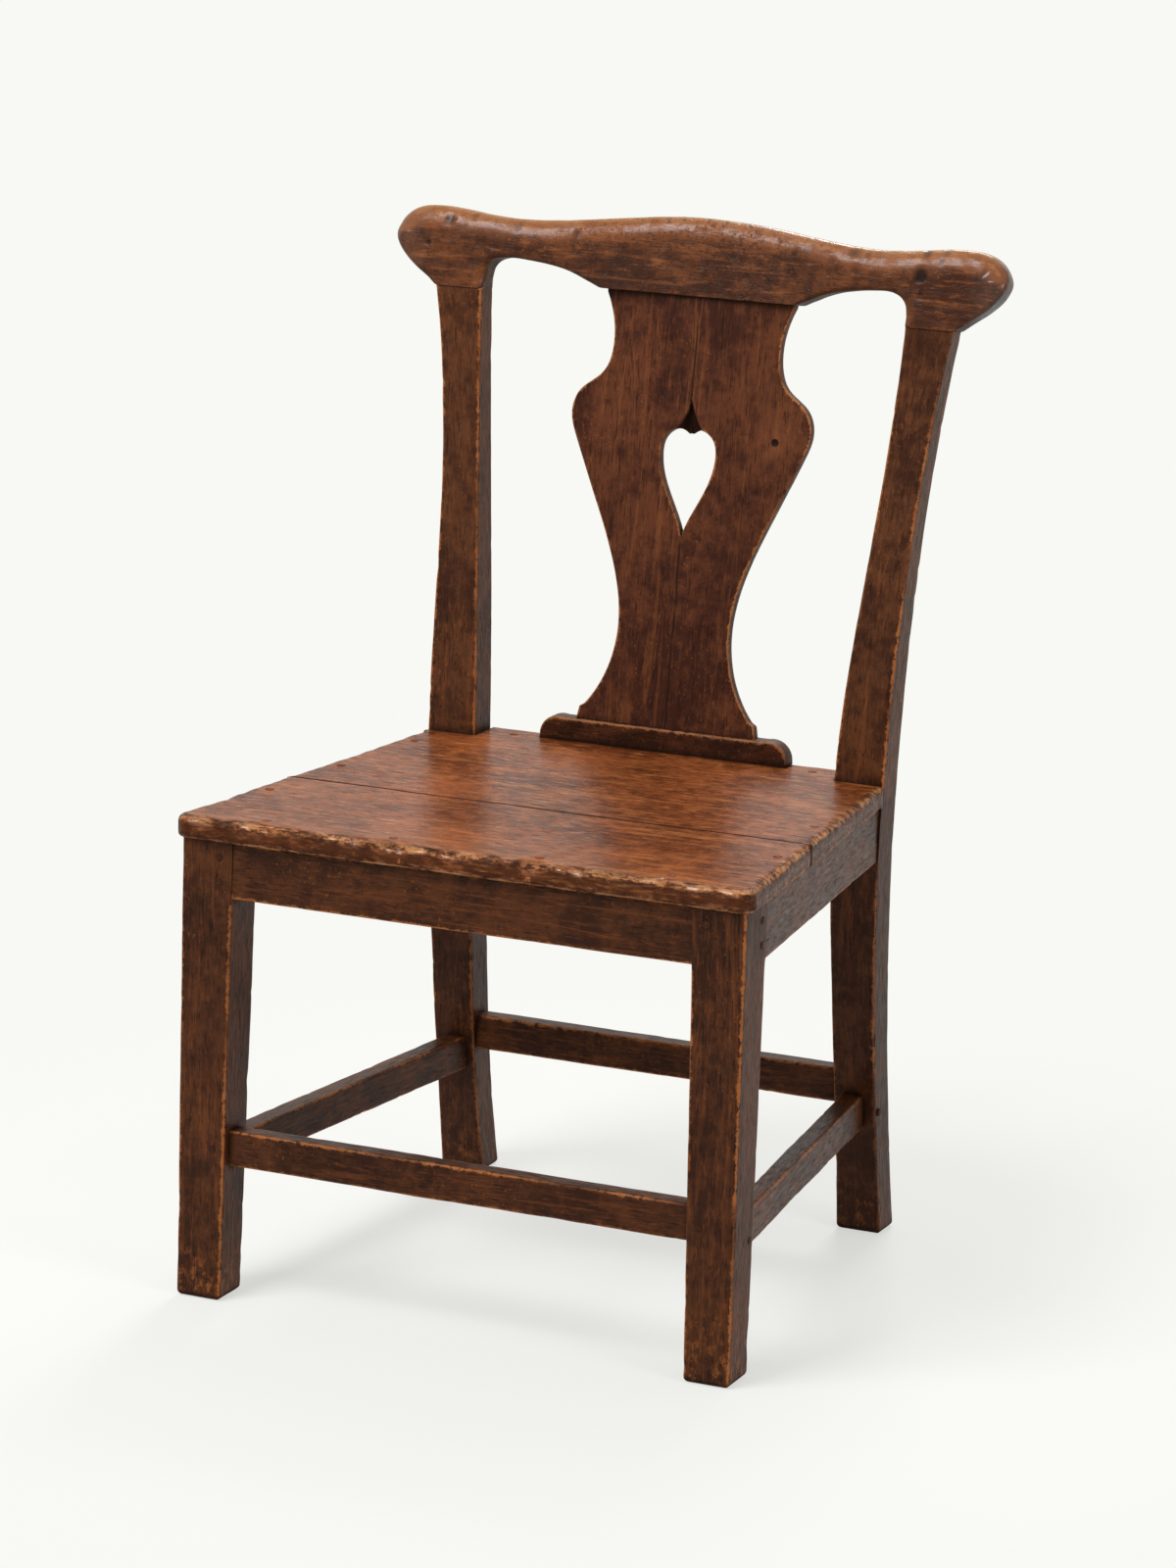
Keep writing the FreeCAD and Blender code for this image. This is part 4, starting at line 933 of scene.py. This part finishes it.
# Knocks in the face: across, along the rake, depth and width in millimetres. The first five are the worst.
DENTS = [(-246, 476, 1.4, 5), (221, 462, 2.2, 6), (224, 482, 1.2, 4), (150, 476, 0.9, 4), (156, 477, 0.8, 4)]
rng = random.Random(101)
DENTS += [(rng.uniform(-285, 285), rng.uniform(436, 490), rng.uniform(0.25, 0.9), rng.uniform(1.6, 4))
          for dent in range(70)]


def dented(flat):
    """Depth of the knocks in the crest's face."""
    return sum(hurt * MM * np.exp(-np.sum((flat / MM - (x, y)) ** 2, axis=1) ** 2 / wide ** 4)
               for x, y, hurt, wide in DENTS)


def crest_wear(finish):
    """Hands have paled the top and the rounded edges and polished ears and grip; the pale top is also painted
    top light. The face is pocked.
    """
    broken = finish.speckle(finish.place, (45, 45, 45), 5, 0.7)
    handled = finish.between(finish.edge + 16 * MM * (broken - 0.5), 13 * MM, 2 * MM)
    finish.stain(0.45 * handled, "9a5a30")
    # Pale worn colour and painted top light on the upward-facing top.
    pale_top_and_painted_toplight = finish.between(finish.upward, 0.5, 0.92) * finish.between(broken, 0.3, 0.55, 0.35, 1.0)
    finish.stain(0.6 * pale_top_and_painted_toplight, "ab784c")
    gripped = finish.between(finish.across, 0.0, 60 * MM) * finish.between(finish.across, 270 * MM, 220 * MM)
    ears = finish.between(abs(finish.across), 262 * MM, 290 * MM)
    spared = finish.between(finish.upward, 0.9, 0.7)
    finish.polish = (0.28 * handled * finish.between(broken, 0.42, 0.58) + 0.4 * ears) * spared
    finish.polish = finish.polish + 0.25 * gripped * finish.between(finish.upward, 0.5, 0.8)
    pocks = finish.speckle(finish.place, (230, 230, 330), 3, 0.6)
    pocks = finish.between(pocks, 0.55, 0.63) * finish.between(abs(finish.across), 170 * MM, 60 * MM)
    finish.stain(0.55 * pocks, "27130a")
    finish.relief = finish.relief - 2.5 * pocks


crest_oak = oak("handled_crest_oak", "3a1c0d", "62361b", "88502d", "b87c4c", gloss=0.27, shine=0.14,
                rubs=0.5, dents=0.7, fleck=(210, 40, 1), extra=crest_wear)
dent_spots = [((x + i * 1.3) * MM, (y + j * 1.3) * MM) for x, y, hurt, wide in DENTS
              for i in range(-5, 6) for j in range(-5, 6)]
crest = board("crest_rail_wood", [evenly(outline, 2 * MM, 1.6 * MM)], crest_back - crest_front,
              lambda flat, deep: leaning(flat[:, 0], bow(flat[:, 0]) + crest_front + deep, flat[:, 1]),
              crest_rims, crest_oak, 97, along=0, step=3.5 * MM, round_points=10, carve=dented,
              dense=dent_spots, swell=0.35 * MM, ripple=0.28 * MM)
placed(crest, "crest_rail")

# Stage: a pale matt floor that fades into a plain white room, lit by three cloth-fronted studio lamps.
# White shows only where it is looked at or mirrored. The lamps and a dimmer room light the wood.
REACH = 60.0
WHITE = paint("f8f9f4")


def looked_at(tree):
    """1 for rays from the camera, off a polished face or through glass, and 0 for those that carry light."""
    rays = tree.node("ShaderNodeLightPath")
    return rays[0].sum("MAXIMUM", rays[0].sum("MAXIMUM", rays[0], rays[3]), rays[6])


floor_mesh = bpy.data.meshes.new("floor")
floor_mesh.from_pydata([(-REACH, -REACH, 0), (REACH, -REACH, 0), (REACH, REACH, 0), (-REACH, REACH, 0)], [],
                       [(0, 1, 2, 3)])
floor = bpy.data.objects.new("floor", floor_mesh)
bpy.context.scene.collection.objects.link(floor)
floor_paint, ground = new_finish("pale_floor")
spot = ground.node("ShaderNodeTexCoord")[3]
far = ground.node("ShaderNodeVectorMath", {"operation": "LENGTH"}, {0: spot})[1]
lit = ground.node("ShaderNodeBsdfDiffuse", {}, {"Color": paint("e6e5e4")})[0]
glow = ground.node("ShaderNodeEmission", {}, {"Color": WHITE, "Strength": 1.0})[0]
white = looked_at(ground) * ground.between(far, 0.45, 1.0, 0.6, 1.0)
surface = ground.node("ShaderNodeMixShader", {}, {0: white, 1: lit, 2: glow})[0]
ground.node("ShaderNodeOutputMaterial", {}, {"Surface": surface})
floor_mesh.materials.append(floor_paint)

world = bpy.data.worlds.new("white_room")
bpy.context.scene.world = world
world.use_nodes = True
room = Finish(world.node_tree)
shown = room.node("ShaderNodeBackground", {}, {"Color": WHITE, "Strength": 1.0})[0]
ambient = room.node("ShaderNodeBackground", {}, {"Color": (1, 1, 1, 1), "Strength": 0.42})[0]
mixed = room.node("ShaderNodeMixShader", {}, {0: looked_at(room), 1: ambient, 2: shown})[0]
room.node("ShaderNodeOutputWorld", {}, {"Surface": mixed})


def softbox(name, place, size, watts, aim=(0, 0, 0.45)):
    """Square studio lamp aimed at the chair."""
    lamp = bpy.data.lights.new(name, "AREA")
    lamp.size = size
    lamp.energy = watts
    holder = bpy.data.objects.new(name, lamp)
    holder.location = place
    holder.rotation_euler = (Vector(aim) - Vector(place)).to_track_quat("-Z", "Y").to_euler()
    bpy.context.scene.collection.objects.link(holder)


softbox("key_light", (-1.1, -2.1, 3.2), 1.6, 100)
softbox("top_light", (-0.3, 2.2, 2.6), 1.0, 50)
softbox("fill_light", (2.8, -1.0, 1.7), 1.1, 24)

# Camera: where the photograph was taken from, on a stand in front of the chair and to its right.
# A longer lens brings the chair closer, and the camera is tipped to one side as it was then.
AIM = Vector((0.005, 0.0, 0.447))
ROLL = math.radians(1.8)
camera_data = bpy.data.cameras.new("camera")
camera_data.sensor_width = 36
camera_data.lens = 126
camera = bpy.data.objects.new("camera", camera_data)
camera.location = (1.8964, -4.3965, 1.5583)
look = (AIM - camera.location).to_track_quat("-Z", "Y").to_matrix()
camera.rotation_euler = (look @ Matrix.Rotation(ROLL, 3, "Z")).to_euler()
bpy.context.scene.collection.objects.link(camera)
bpy.context.scene.camera = camera
bpy.context.scene.view_settings.view_transform = "Standard"
